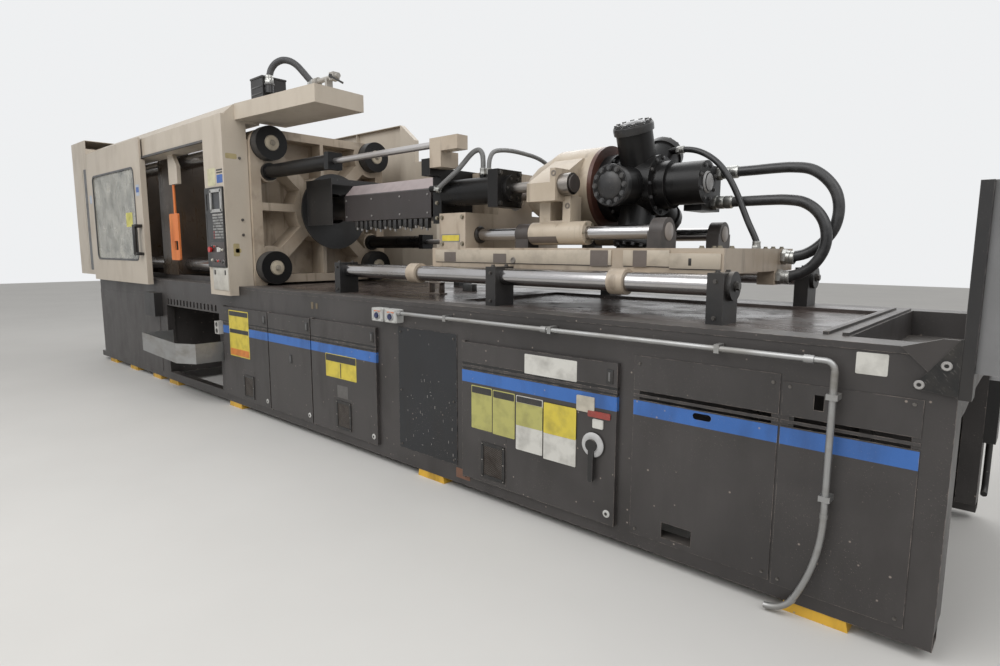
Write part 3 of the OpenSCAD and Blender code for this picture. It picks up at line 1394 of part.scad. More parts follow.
// Hoses of the injection unit, with their routes
hose_r = 32;
drain_r = 19;
crossover_r = 16;
conduit_hose_r = 18;
upper_route = [[-1480, 1280, 2100], [-1380, 1280, 2100], [-1250, 1280, 2101], [-1120, 1280, 2103],
  [-1020, 1280, 2100], [-915, 1280, 2080], [-830, 1280, 2020], [-770, 1280, 1935], [-750, 1280, 1830],
  [-770, 1280, 1725], [-830, 1280, 1640], [-915, 1280, 1580], [-1010, 1280, 1560], [-1050, 1280, 1560]];
lower_route = [[-1480, 1210, 1905], [-1380, 1210, 1905], [-1250, 1210, 1906], [-1110, 1210, 1906],
  [-1020, 1210, 1902], [-930, 1210, 1885], [-855, 1210, 1835], [-805, 1210, 1760], [-788, 1210, 1670],
  [-805, 1210, 1585], [-855, 1210, 1508], [-930, 1210, 1458], [-1010, 1210, 1440], [-1050, 1210, 1440]];
drain_route = [[-1700, 1130, 2250], [-1640, 1130, 2250], [-1560, 1130, 2232], [-1480, 1130, 2190],
  [-1410, 1130, 2130], [-1350, 1130, 2050], [-1300, 1130, 1960], [-1255, 1130, 1860],
  [-1215, 1130, 1770], [-1180, 1130, 1700], [-1160, 1130, 1655], [-1158, 1130, 1635], [-1158, 1130, 1610]];
crossover_route = [[crossover_x[0], mid_y - inj_half, port_top], [crossover_x[0], mid_y - inj_half, 2165],
  [-2797, 492, 2228], [-2806, 540, 2280],
  [-2822, 640, 2306], [-2845, 790, 2320], [-2872, 950, 2323], [-2897, 1120, 2318], [-2912, 1240, 2300],
  [-2919, 1325, 2268], [-2920, 1368, 2218], [crossover_x[1], mid_y + inj_half, 2165],
  [crossover_x[1], mid_y + inj_half, port_top]];
conduit_route = [conduit_elbow + [30, 0, 0], conduit_elbow + [50, 0, 0], [-3130, 363, 2075],
  [-3065, 365, 2112],
  [-3010, 378, 2152], [-2970, 410, 2210], [-2943, 440, 2258], [-2915, 462, 2288], [-2882, 475, 2294],
  [-2858, 480, 2265], [-2850, 480, 2215],
  [conduit_port_x, mid_y - inj_half, 2165], [conduit_port_x, mid_y - inj_half, port_top]];
module main_hose_upper() { color([0.08, 0.08, 0.08]) place() cord_tube(upper_route, hose_r, [0, 1, 0]); }
module main_hose_lower() { color([0.08, 0.08, 0.08]) place() cord_tube(lower_route, hose_r, [0, 1, 0]); }
module drain_hose() { color([0.08, 0.08, 0.08]) place() cord_tube(drain_route, drain_r, [0, 1, 0]); }
module crossover_hose() {
  color([0.5, 0.5, 0.48]) place() cord_tube(crossover_route, crossover_r, [1, 0, 0]);
}
module cylinder_conduit() {
  color([0.45, 0.45, 0.44]) place() cord_tube(conduit_route, conduit_hose_r, [0, 1, 0]);
}

// Console at the injection end on a triangular bracket, and the junction box on the far leg
console_z = [1060, 1845];
gusset_y = [-17, -5];
module end_console() {
  color([0.12, 0.11, 0.11]) place() {
    block([0, gusset_y[0], console_z[0]], [40, 90, console_z[1]]);
    block([40, 0, console_z[0] + 100], [console_x1, 400, console_z[1]]);
    along_y(gusset_y[0], gusset_y[1])
      polygon([[-190, deck_height], [0, console_z[0]], [1, console_z[0] + 220], [-60, console_z[0] + 220]]);
  }
}
module junction_box() {
  cable_r = 17;
  bend_r = 60;
  y = mid_y + 820;
  color([0.20, 0.19, 0.19]) place() {
    block([0, mid_y + 740, 500], [60, mid_y + 930, 870]);
    rod_z(240, 501, cable_r, 30, y);
    translate([30, y - bend_r, 240]) rotate([-90, 0, 90])
      rotate_extrude(angle = 70) translate([bend_r, 0]) circle(cable_r);
  }
}

side_frames();
cross_members();
deck_plate();
levelling_pads();
side_panels();
cover_plates();
parts_chute();
limit_boxes();
button_boxes();
conduit_run();
rear_guard();
guard_header();
control_column();
operator_panel();
canopy_beam();
canopy_box();
canopy_hose();
stationary_platen();
cylinder_platen();
tie_bars();
tie_bar_nuts();
purge_shield();
pull_in_cylinders();
support_rods();
rod_pedestals();
end_console();
junction_box();
access_door_1();
access_door_2();
access_door_3();
cabinet_door();
disconnect_handle();
sliding_gate();
gate_window();
moving_platen();
clamp_ram();
ejector_plate();
safety_bar();
purge_guard();
sled();
feed_block();
injection_cylinders();
guide_rods();
pull_in_rods();
barrel();
barrel_shroud();
crossover_hose();
cylinder_conduit();
injection_housing();
injection_rods();
hydraulic_motor();
main_hose_upper();
main_hose_lower();
drain_hose();
screw();
push_button_left();
push_button_right();
estop_button();
selector_knob();
valve_handle();
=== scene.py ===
# Dresses the injection moulding machine: finishes for every part, hoses, and the small fittings.
# Places are metres in the machine's own frame, measured from the base's near corner at the injection end.
import bpy, bmesh, math, random
from mathutils import Matrix, Vector


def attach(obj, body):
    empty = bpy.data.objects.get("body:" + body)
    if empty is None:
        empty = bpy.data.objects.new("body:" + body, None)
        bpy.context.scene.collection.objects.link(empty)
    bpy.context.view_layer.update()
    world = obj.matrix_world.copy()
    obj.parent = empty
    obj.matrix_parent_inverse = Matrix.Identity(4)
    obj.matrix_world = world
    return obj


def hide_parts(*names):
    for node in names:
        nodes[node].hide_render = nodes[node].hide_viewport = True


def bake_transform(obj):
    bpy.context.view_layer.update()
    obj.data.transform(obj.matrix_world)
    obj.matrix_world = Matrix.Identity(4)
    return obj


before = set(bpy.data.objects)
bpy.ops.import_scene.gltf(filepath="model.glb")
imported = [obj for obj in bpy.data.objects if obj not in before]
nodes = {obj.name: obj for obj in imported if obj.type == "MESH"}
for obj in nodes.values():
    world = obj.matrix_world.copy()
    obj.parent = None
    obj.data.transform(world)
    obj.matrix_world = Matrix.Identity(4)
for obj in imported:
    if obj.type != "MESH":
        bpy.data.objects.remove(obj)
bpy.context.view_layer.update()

machineZero = Vector((5.0, -0.78, 0.0))   # the machine's own corner in the model's frame
alongX, toOperator, upward = (1, 0, 0), (0, -1, 0), (0, 0, 1)


def place(x, y, z):
    return machineZero + Vector((x, y, z))


# Node trees
def addNode(tree, kind, inputs=None, **settings):
    node = tree.nodes.new("ShaderNode" + kind)
    for key, value in settings.items():
        setattr(node, key, value)
    for key, value in (inputs or {}).items():
        feed(tree, node.inputs[key], value)
    return node


def feed(tree, socket, value):
    if isinstance(value, bpy.types.NodeSocket):
        tree.links.new(value, socket)
    elif socket.type == "RGBA" and len(value) == 3:
        socket.default_value = (*value, 1)
    else:
        socket.default_value = value


def objectCoords(tree):
    return addNode(tree, "TexCoord").outputs["Object"]


def maths(tree, operation, a, b=0.0, clamp=False):
    return addNode(tree, "Math", {0: a, 1: b}, operation=operation, use_clamp=clamp).outputs[0]


def times(tree, a, b, clamp=False):
    return maths(tree, "MULTIPLY", a, b, clamp)


def mixed(tree, factor, a, b):
    return addNode(tree, "Mix", {0: factor, 6: a, 7: b}, data_type="RGBA").outputs[2]


def ramped(tree, value, low, high, outLow=0.0, outHigh=1.0):
    inputs = {"Value": value, "From Min": low, "From Max": high, "To Min": outLow, "To Max": outHigh}
    return addNode(tree, "MapRange", inputs).outputs["Result"]


def noise(tree, coords, scale, detail, stretch=(1, 1, 1), distortion=0.0):
    stretched = addNode(tree, "Mapping", {"Vector": coords, "Scale": stretch}).outputs[0]
    inputs = {"Vector": stretched, "Scale": scale, "Detail": detail, "Roughness": 0.55, "Distortion": distortion}
    return addNode(tree, "TexNoise", inputs).outputs[0]


def newGroup(name, inputs, outputs):
    tree = bpy.data.node_groups.new(name, "ShaderNodeTree")
    for label, (kind, value) in inputs.items():
        socket = tree.interface.new_socket(name=label, in_out="INPUT", socket_type="NodeSocket" + kind)
        socket.default_value = (*value, 1) if kind == "Color" else value
    for label, kind in outputs.items():
        tree.interface.new_socket(name=label, in_out="OUTPUT", socket_type="NodeSocket" + kind)
    start = tree.nodes.new("NodeGroupInput")
    end = tree.nodes.new("NodeGroupOutput")
    return tree, start.outputs, end.inputs


def useGroup(tree, group, **inputs):
    node = tree.nodes.new("ShaderNodeGroup")
    node.node_tree = group
    for key, value in inputs.items():
        feed(tree, node.inputs[key], value)
    return node.outputs


# Bright line along sharp edges, broken up by noise
def makeEdgeGroup():
    tree, given, result = newGroup("edgeWear", {"Amount": ("Float", 0.5), "Width": ("Float", 0.004)},
                                   {"Mask": "Float"})
    coords = objectCoords(tree)
    rounded = addNode(tree, "Bevel", {"Radius": given["Width"]}, samples=4).outputs[0]
    flat = addNode(tree, "NewGeometry").outputs["Normal"]
    facing = addNode(tree, "VectorMath", {0: rounded, 1: flat}, operation="DOT_PRODUCT").outputs["Value"]
    turned = ramped(tree, facing, 0.995, 0.86)
    broken = ramped(tree, noise(tree, coords, 22, 4), 0.42, 0.62)
    tree.links.new(times(tree, times(tree, turned, broken), given["Amount"]), result["Mask"])
    return tree


# Painted sheet: cloudy fading, grime that runs down, scratches, rust dots and rubbed edges
def makePaintGroup():
    tree, given, result = newGroup(
        "shopPaint",
        {"Paint": ("Color", (0.1, 0.1, 0.1)), "Faded": ("Color", (0.2, 0.2, 0.2)),
         "Grime": ("Color", (0.02, 0.018, 0.015)), "Bare": ("Color", (0.32, 0.29, 0.26)),
         "Fading": ("Float", 0.5), "Dirt": ("Float", 0.4), "Runs": ("Float", 0.4), "Wear": ("Float", 0.4),
         "Gloss": ("Float", 0.45), "Edges": ("Float", 0.5)},
        {"Color": "Color", "Roughness": "Float", "Height": "Float"})
    coords = objectCoords(tree)
    cloud = ramped(tree, noise(tree, coords, 1.7, 7, distortion=0.6), 0.35, 0.7)
    smear = ramped(tree, noise(tree, coords, 5.5, 5, (1, 1, 0.35)), 0.48, 0.72)
    runs = ramped(tree, noise(tree, coords, 9, 4, (1, 1, 0.09)), 0.53, 0.72)
    grain = noise(tree, coords, 160, 2)
    fadeMask = times(tree, maths(tree, "ADD", cloud, times(tree, grain, 0.35)), given["Fading"], clamp=True)
    color = mixed(tree, fadeMask, given["Paint"], given["Faded"])
    runs = times(tree, runs, given["Runs"])
    dirtMask = times(tree, maths(tree, "MAXIMUM", smear, runs), given["Dirt"], clamp=True)
    color = mixed(tree, dirtMask, color, given["Grime"])
    slant = addNode(tree, "Mapping", {"Vector": coords, "Rotation": (0.4, 0.9, 0.3)}).outputs[0]
    scratch = ramped(tree, noise(tree, slant, 30, 2, (14, 14, 0.4)), 0.68, 0.74)
    scratch = times(tree, scratch, ramped(tree, noise(tree, coords, 3, 2), 0.45, 0.6))
    cells = addNode(tree, "TexVoronoi", {"Vector": coords, "Scale": 26.0}).outputs
    chosen = addNode(tree, "SeparateColor", {"Color": cells["Color"]}).outputs[0]
    dots = times(tree, ramped(tree, cells["Distance"], 0.16, 0.09), maths(tree, "GREATER_THAN", chosen, 0.86))
    edge = useGroup(tree, edgeWear, Amount=given["Edges"])["Mask"]
    chips = maths(tree, "MAXIMUM", scratch, dots)
    bareMask = maths(tree, "MAXIMUM", times(tree, chips, given["Wear"], clamp=True), edge)
    tree.links.new(mixed(tree, bareMask, color, given["Bare"]), result["Color"])
    rough = maths(tree, "ADD", given["Gloss"], times(tree, cloud, 0.18))
    rough = maths(tree, "ADD", rough, times(tree, dirtMask, 0.22), clamp=True)
    tree.links.new(rough, result["Roughness"])
    height = maths(tree, "SUBTRACT", times(tree, noise(tree, coords, 420, 2), 0.25), bareMask)
    tree.links.new(height, result["Height"])
    return tree


# Rough casting under thick paint, with oil that has run down and rubbed corners
def makeCastingGroup():
    tree, given, result = newGroup(
        "paintedCasting",
        {"Paint": ("Color", (0.6, 0.5, 0.4)), "Shade": ("Color", (0.45, 0.36, 0.26)),
         "Oil": ("Color", (0.05, 0.035, 0.02)), "Bare": ("Color", (0.2, 0.18, 0.16)),
         "Oiled": ("Float", 0.35), "Edges": ("Float", 0.5), "Gloss": ("Float", 0.4)},
        {"Color": "Color", "Roughness": "Float", "Height": "Float"})
    coords = objectCoords(tree)
    cloud = ramped(tree, noise(tree, coords, 3.2, 6), 0.32, 0.72)
    color = mixed(tree, cloud, given["Paint"], given["Shade"])
    runs = ramped(tree, noise(tree, coords, 14, 4, (1, 1, 0.12)), 0.58, 0.7)
    pools = ramped(tree, noise(tree, coords, 4.5, 5), 0.58, 0.72)
    oilMask = times(tree, maths(tree, "MAXIMUM", runs, pools), given["Oiled"], clamp=True)
    color = mixed(tree, oilMask, color, given["Oil"])
    edge = useGroup(tree, edgeWear, Amount=given["Edges"], Width=0.006)["Mask"]
    tree.links.new(mixed(tree, edge, color, given["Bare"]), result["Color"])
    rough = maths(tree, "ADD", given["Gloss"], times(tree, cloud, 0.15))
    rough = maths(tree, "SUBTRACT", rough, times(tree, oilMask, 0.12), clamp=True)
    tree.links.new(rough, result["Roughness"])
    lumps = times(tree, noise(tree, coords, 9, 2), 0.8)
    tree.links.new(maths(tree, "ADD", noise(tree, coords, 70, 4), lumps), result["Height"])
    return tree


# Turned or ground bar: fine rings along one axis, smears of oil and dull patches
def makeBarGroup():
    tree, given, result = newGroup(
        "groundBar",
        {"Steel": ("Color", (0.6, 0.6, 0.6)), "Stain": ("Color", (0.3, 0.27, 0.24)),
         "Rings": ("Float", 150.0), "Stained": ("Float", 0.4), "Gloss": ("Float", 0.15)},
        {"Color": "Color", "Roughness": "Float", "Height": "Float"})
    coords = objectCoords(tree)
    across = addNode(tree, "Mapping", {"Vector": coords, "Scale": (1, 0.02, 0.02)}).outputs[0]
    inputs = {"Vector": across, "Scale": given["Rings"], "Detail": 2.0}
    rings = addNode(tree, "TexNoise", inputs).outputs[0]
    smear = ramped(tree, noise(tree, coords, 6, 5, (0.35, 1, 1)), 0.45, 0.7)
    mask = times(tree, smear, given["Stained"], clamp=True)
    tree.links.new(mixed(tree, mask, given["Steel"], given["Stain"]), result["Color"])
    rough = maths(tree, "ADD", given["Gloss"], times(tree, mask, 0.35))
    rough = maths(tree, "ADD", rough, times(tree, rings, 0.08), clamp=True)
    tree.links.new(rough, result["Roughness"])
    tree.links.new(rings, result["Height"])
    return tree


# Dust that lies on faces turned up
def makeDustGroup():
    tree, given, result = newGroup("settledDust", {"Amount": ("Float", 0.5)}, {"Mask": "Float"})
    coords = objectCoords(tree)
    up = addNode(tree, "SeparateXYZ", {"Vector": addNode(tree, "NewGeometry").outputs["Normal"]}).outputs[2]
    patchy = ramped(tree, noise(tree, coords, 4, 6), 0.3, 0.65)
    lying = times(tree, ramped(tree, up, 0.6, 0.98), patchy)
    tree.links.new(times(tree, lying, given["Amount"], clamp=True), result["Mask"])
    return tree


# One inside a box between two corners, nought outside it
def makeZoneGroup():
    tree, given, result = newGroup("zone", {"Low": ("Vector", (0, 0, 0)), "High": ("Vector", (0, 0, 0))},
                                   {"Mask": "Float"})
    coords = objectCoords(tree)
    sides = []
    for corner, operation in (("Low", "GREATER_THAN"), ("High", "LESS_THAN")):
        here = addNode(tree, "SeparateXYZ", {"Vector": coords}).outputs
        limit = addNode(tree, "SeparateXYZ", {"Vector": given[corner]}).outputs
        sides += [maths(tree, operation, here[i], limit[i]) for i in range(3)]
    inside = sides[0]
    for side in sides[1:]:
        inside = times(tree, inside, side)
    tree.links.new(inside, result["Mask"])
    return tree


edgeWear = makeEdgeGroup()
shopPaint = makePaintGroup()
paintedCasting = makeCastingGroup()
groundBar = makeBarGroup()
settledDust = makeDustGroup()
zone = makeZoneGroup()
print("shader groups ready")


# Materials
def newMaterial(name, metallic=0.0, ior=1.5):
    material = bpy.data.materials.new(name)
    material.use_nodes = True
    tree = material.node_tree
    shader = tree.nodes["Principled BSDF"]
    shader.inputs["Metallic"].default_value = metallic
    shader.inputs["IOR"].default_value = ior
    return material, tree, shader


def coat(tree, shader, color, roughness):
    feed(tree, shader.inputs["Base Color"], color)
    feed(tree, shader.inputs["Roughness"], roughness)


def bumpFrom(tree, shader, height, distance, strength):
    bump = addNode(tree, "Bump", {"Height": height, "Distance": distance, "Strength": strength})
    tree.links.new(bump.outputs[0], shader.inputs["Normal"])


def zoneMask(tree, low, high):
    return useGroup(tree, zone, Low=tuple(place(*low)), High=tuple(place(*high)))["Mask"]


def dusted(tree, color, amount, dustColor):
    if not amount:
        return color
    return mixed(tree, useGroup(tree, settledDust, Amount=amount)["Mask"], color, dustColor)


def paintMaterial(name, settings, zones=(), dust=0.0, dustColor=(0.35, 0.32, 0.28)):
    material, tree, shader = newMaterial(name)
    given = dict(settings)
    for low, high, other in zones:
        faded = tuple(min(1, 1.35 * c + 0.008) for c in other)
        given["Paint"] = mixed(tree, zoneMask(tree, low, high), given["Paint"], other)
        given["Faded"] = mixed(tree, zoneMask(tree, low, high), given["Faded"], faded)
    paint = useGroup(tree, shopPaint, **given)
    coat(tree, shader, dusted(tree, paint["Color"], dust, dustColor), paint["Roughness"])
    bumpFrom(tree, shader, paint["Height"], 0.0004, 0.4)
    return material


def castingMaterial(name, settings, bump=0.0009, dust=0.0, zones=(), ior=1.5):
    material, tree, shader = newMaterial(name, ior=ior)
    given = dict(settings)
    for low, high, other in zones:
        for part in ("Paint", "Shade"):
            given[part] = mixed(tree, zoneMask(tree, low, high), given[part], other)
    cast = useGroup(tree, paintedCasting, **given)
    coat(tree, shader, dusted(tree, cast["Color"], dust, (0.3, 0.26, 0.21)), cast["Roughness"])
    bumpFrom(tree, shader, cast["Height"], bump, 0.5)
    return material


def barMaterial(name, settings):
    material, tree, shader = newMaterial(name, metallic=1.0)
    bar = useGroup(tree, groundBar, **settings)
    coat(tree, shader, bar["Color"], bar["Roughness"])
    bumpFrom(tree, shader, bar["Height"], 0.00012, 0.35)
    return material


# One material out of two finishes: the casting inside the zones, and steel elsewhere
def splitMaterial(name, cast, bar, zones):
    material, tree, shader = newMaterial(name)
    inside = 0.0
    for low, high in zones:
        inside = maths(tree, "MAXIMUM", inside, zoneMask(tree, low, high))
    steel = maths(tree, "SUBTRACT", 1.0, inside)
    painted = useGroup(tree, paintedCasting, **cast)
    ground = useGroup(tree, groundBar, **bar)
    rough = addNode(tree, "Mix", {0: steel, 2: painted["Roughness"], 3: ground["Roughness"]}).outputs[0]
    coat(tree, shader, mixed(tree, steel, painted["Color"], ground["Color"]), rough)
    tree.links.new(steel, shader.inputs["Metallic"])
    height = times(tree, painted["Height"], maths(tree, "SUBTRACT", 1.0, steel))
    bumpFrom(tree, shader, height, 0.0005, 0.5)
    return material


def finish(material, *names):
    for name in names:
        nodes[name].data.materials.clear()
        nodes[name].data.materials.append(material)


stripe = {"low": 0.762, "high": 0.838, "blue": (0.03, 0.115, 0.36)}
stripeZone = ((-5.995, -0.06, stripe["low"]), (-0.1, 0.02, stripe["high"]), stripe["blue"])
# two near-black bands above the blue stripe: painted shade standing for the shade inside two grooves
grooveShadows = [((-5.995, -0.06, low), (-0.1, 0.02, low + 0.016), (0.008, 0.008, 0.008)) for low in (0.843, 0.872)]
blackCover = ((-3.25, -0.06, 0.1), (-2.6, 0.02, 1.07), (0.007, 0.008, 0.01))
basePaint = {"Paint": (0.034, 0.031, 0.03), "Faded": (0.062, 0.056, 0.054), "Grime": (0.017, 0.014, 0.012),
             "Bare": (0.36, 0.3, 0.26), "Fading": 0.7, "Dirt": 0.35, "Runs": 0.35, "Wear": 0.6, "Gloss": 0.36,
             "Edges": 0.7}
baseGrey = paintMaterial("baseGrey", basePaint, [stripeZone, *grooveShadows, blackCover])
frameGrey = paintMaterial("frameGrey", {**basePaint, "Paint": (0.031, 0.028, 0.027)}, dust=0.35,
                          dustColor=(0.2, 0.18, 0.16))
creamPaint = {"Paint": (0.47, 0.41, 0.335), "Faded": (0.53, 0.475, 0.4), "Grime": (0.24, 0.19, 0.14),
              "Bare": (0.2, 0.17, 0.14), "Fading": 0.6, "Dirt": 0.25, "Runs": 0.25, "Wear": 0.25, "Gloss": 0.38,
              "Edges": 0.3}
blackTrack = ((-9.8, -0.082, 2.62), (-6.0, -0.0605, 2.66), (0.03, 0.03, 0.03))
blackHandle = ((-8.0, -0.17, 1.5), (-7.8, -0.1002, 1.95), (0.02, 0.02, 0.02))
guardCream = paintMaterial("guardCream", creamPaint, [blackTrack, blackHandle], dust=0.3,
                           dustColor=(0.42, 0.38, 0.33))
deckPaint = {"Paint": (0.05, 0.038, 0.034), "Faded": (0.11, 0.088, 0.08), "Grime": (0.014, 0.009, 0.006),
             "Bare": (0.4, 0.36, 0.32), "Fading": 0.8, "Dirt": 0.9, "Runs": 0.0, "Wear": 0.8, "Gloss": 0.18,
             "Edges": 0.6}
deckOily = paintMaterial("deckOily", deckPaint)
blackPaint = {"Paint": (0.01, 0.01, 0.011), "Faded": (0.022, 0.021, 0.02), "Grime": (0.035, 0.029, 0.024),
              "Bare": (0.22, 0.2, 0.19), "Fading": 0.7, "Dirt": 0.35, "Wear": 0.4, "Gloss": 0.33, "Edges": 0.6}
consoleFace = ((0.041, -0.02, 1.1), (0.4, 0.42, 1.9), (0.15, 0.15, 0.152))
gussetGrey = ((-0.3, -0.03, 1.0), (-0.0005, 0.0, 1.3), (0.036, 0.032, 0.031))
outletGrey = ((-6.12, -0.07, 0.73), (-6.01, 0.01, 0.88), (0.36, 0.35, 0.33))
boxBlack = paintMaterial("boxBlack", blackPaint, [consoleFace, gussetGrey, outletGrey], dust=0.3)
valvePipe = ((-4.9, 0.3, 2.95), (-4.36, 0.5, 3.2), (0.3, 0.285, 0.26))
canopyBlack = paintMaterial("canopyBlack", blackPaint, [valvePipe], dust=0.3)
shroudTop = ((-4.95, 0.6, 2.1), (-3.6, 1.3, 2.3), (0.3, 0.25, 0.25))
shroudPaint = {**blackPaint, "Paint": (0.03, 0.025, 0.025), "Faded": (0.06, 0.05, 0.05), "Gloss": 0.3}
shroudSteel = paintMaterial("shroudSteel", shroudPaint, [shroudTop])
padYellow = paintMaterial("padYellow", {"Paint": (0.72, 0.42, 0.03), "Faded": (0.5, 0.3, 0.08),
                                        "Grime": (0.04, 0.03, 0.02), "Dirt": 0.6, "Wear": 0.8, "Gloss": 0.5})
orangePaint = paintMaterial("orangePaint", {"Paint": (0.68, 0.17, 0.035), "Faded": (0.7, 0.26, 0.09),
                                            "Grime": (0.1, 0.04, 0.02), "Dirt": 0.4, "Wear": 0.7, "Edges": 0.8})
boxGrey = paintMaterial("boxGrey", {"Paint": (0.42, 0.42, 0.41), "Faded": (0.55, 0.55, 0.53),
                                    "Grime": (0.12, 0.1, 0.08), "Dirt": 0.35, "Wear": 0.4})
creamCast = {"Paint": (0.46, 0.39, 0.31), "Shade": (0.35, 0.28, 0.21), "Oil": (0.07, 0.045, 0.026),
             "Bare": (0.12, 0.1, 0.09), "Oiled": 0.4, "Edges": 0.5, "Gloss": 0.33}
platenCream = castingMaterial("platenCream", creamCast, dust=0.35)
housingPaint = {**creamCast, "Paint": (0.5, 0.43, 0.34), "Shade": (0.4, 0.33, 0.25)}
drumRing = ((-2.09, 0.6, 1.7), (-2.05, 1.3, 2.3), (0.085, 0.036, 0.026))
housingCream = castingMaterial("housingCream", housingPaint, dust=0.25, zones=[drumRing])
# dark oily casting for the moving and cylinder platens; its paint is darkened further as painted shade for the
# clamp's interior under the guard
oilAndShadeCast = castingMaterial("oilAndShadeCast", {**creamCast, "Paint": (0.075, 0.058, 0.045), "Shade": (0.04, 0.03, 0.023),
                                        "Oiled": 0.8, "Gloss": 0.25})
blackCast = {"Paint": (0.007, 0.007, 0.0075), "Shade": (0.014, 0.013, 0.0125), "Oil": (0.004, 0.0035, 0.003),
             "Bare": (0.14, 0.13, 0.12), "Oiled": 0.5, "Edges": 0.4, "Gloss": 0.26}
blackEnamel = castingMaterial("blackEnamel", blackCast, 0.0006, ior=1.3)
pedestalPaint = {**blackCast, "Gloss": 0.4, "Shade": (0.026, 0.023, 0.021)}
pedestalBlack = castingMaterial("pedestalBlack", pedestalPaint, 0.0008, dust=0.5)
polished = {"Steel": (0.44, 0.43, 0.43), "Stain": (0.2, 0.165, 0.135), "Rings": 220.0, "Stained": 0.45,
            "Gloss": 0.14}
chromeBar = barMaterial("chromeBar", polished)
turnedSteel = barMaterial("turnedSteel", {"Steel": (0.36, 0.34, 0.33), "Stain": (0.14, 0.1, 0.08), "Rings": 90.0,
                                          "Stained": 0.8, "Gloss": 0.35})
zincSheet = barMaterial("zincSheet", {"Steel": (0.36, 0.36, 0.355), "Stain": (0.25, 0.235, 0.21), "Rings": 12.0,
                                      "Stained": 0.9, "Gloss": 0.42})
brownCast = {**blackCast, "Paint": (0.062, 0.052, 0.047), "Shade": (0.04, 0.033, 0.03), "Gloss": 0.42}
rodSteel = splitMaterial("rodSteel", brownCast, {**polished, "Steel": (0.3, 0.28, 0.26), "Gloss": 0.26},
                         [((-2.071, 0, 1.5), (-2.0, 1.9, 2.4))])
guideSteel = splitMaterial("guideSteel", brownCast, polished,
                           [((-2.545, 0, 1.5), (-2.425, 1.9, 1.9)), ((-1.526, 0, 1.5), (-1.43, 1.9, 1.9))])
pullSteel = splitMaterial("pullSteel", creamCast, {**polished, "Steel": (0.55, 0.53, 0.52), "Gloss": 0.3},
                          [((-3.202, 0, 1.5), (-2.8, 1.9, 2.6))])


# Dusty rubber or plastic, with ridges across it where a hose is a flexible conduit
def makeRubber(name, color, gloss, dust=0.45, pale=0.12, rough=0.4, ridges=0.0):
    material, tree, shader = newMaterial(name)
    coords = objectCoords(tree)
    dusty = ramped(tree, noise(tree, coords, 14, 5), 0.4, 0.75, 0.0, dust)
    coat(tree, shader, mixed(tree, dusty, color, tuple(0.5 * c + pale for c in color)),
         ramped(tree, dusty, 0, dust, gloss, gloss + 0.25))
    height = noise(tree, coords, 240, 3)
    if ridges:
        along = addNode(tree, "Attribute", attribute_name="along").outputs["Fac"]
        height = maths(tree, "ADD", maths(tree, "SINE", times(tree, along, ridges)), height)
    bumpFrom(tree, shader, height, 0.0012 if ridges else 0.0004, rough)
    return material


knobWhite = makeRubber("knobWhite", (0.7, 0.7, 0.67), 0.3)
buttonBlue = makeRubber("buttonBlue", (0.012, 0.02, 0.08), 0.2)
buttonRed = makeRubber("buttonRed", (0.5, 0.015, 0.012), 0.25)


def makeWindow():
    material, tree, shader = newMaterial("windowClear", ior=1.49)
    coords = objectCoords(tree)
    haze = ramped(tree, noise(tree, coords, 5, 6), 0.35, 0.75)
    rubbed = ramped(tree, noise(tree, coords, 40, 2, (1, 1, 0.15)), 0.6, 0.75)
    color = mixed(tree, haze, (0.62, 0.64, 0.6), (0.72, 0.7, 0.62))
    coat(tree, shader, color, ramped(tree, rubbed, 0, 1, 0.12, 0.5))
    tree.links.new(ramped(tree, maths(tree, "MAXIMUM", haze, rubbed), 0, 1, 0.22, 0.5), shader.inputs["Alpha"])
    return material


windowClear = makeWindow()

finish(baseGrey, "side_panels", "cover_plates", "access_door_1", "access_door_2", "access_door_3", "cabinet_door")
finish(frameGrey, "side_frames", "cross_members")
finish(deckOily, "deck_plate")
finish(padYellow, "levelling_pads")
finish(zincSheet, "parts_chute", "conduit_run")
finish(canopyBlack, "canopy_box")
finish(boxBlack, "limit_boxes", "end_console", "junction_box", "disconnect_handle", "valve_handle",
       "operator_panel", "purge_guard", "purge_shield")
finish(boxGrey, "button_boxes")
finish(guardCream, "rear_guard", "guard_header", "control_column", "canopy_beam", "sliding_gate")
finish(shroudSteel, "barrel_shroud")
finish(platenCream, "stationary_platen", "sled", "feed_block")
finish(oilAndShadeCast, "moving_platen", "cylinder_platen")
finish(pullSteel, "pull_in_rods")
finish(housingCream, "injection_housing")
finish(blackEnamel, "tie_bar_nuts", "pull_in_cylinders", "injection_cylinders", "hydraulic_motor")
finish(pedestalBlack, "rod_pedestals")
finish(chromeBar, "tie_bars", "support_rods", "clamp_ram")
finish(rodSteel, "injection_rods")
finish(guideSteel, "guide_rods")
finish(turnedSteel, "barrel", "ejector_plate", "screw")
finish(orangePaint, "safety_bar")
finish(windowClear, "gate_window")
finish(knobWhite, "selector_knob")
finish(buttonBlue, "push_button_left", "push_button_right")
finish(buttonRed, "estop_button")
print("finishes on", len(nodes), "parts")


# Camera at the photograph's angle
view = {"spot": (0.219, -2.765, 1.600), "down": 7.725, "yaw": 41.833, "roll": 0.18, "lens": 22.18}
camera = bpy.data.objects.new("viewCamera", bpy.data.cameras.new("viewCamera"))
camera.data.lens = view["lens"]
camera.data.clip_end = 200
turn = (Matrix.Rotation(math.radians(view["yaw"]), 4, "Z")
        @ Matrix.Rotation(math.radians(90 - view["down"]), 4, "X")
        @ Matrix.Rotation(math.radians(view["roll"]), 4, "Z"))
camera.matrix_world = Matrix.Translation(place(*view["spot"])) @ turn
bpy.context.scene.collection.objects.link(camera)
bpy.context.scene.camera = camera

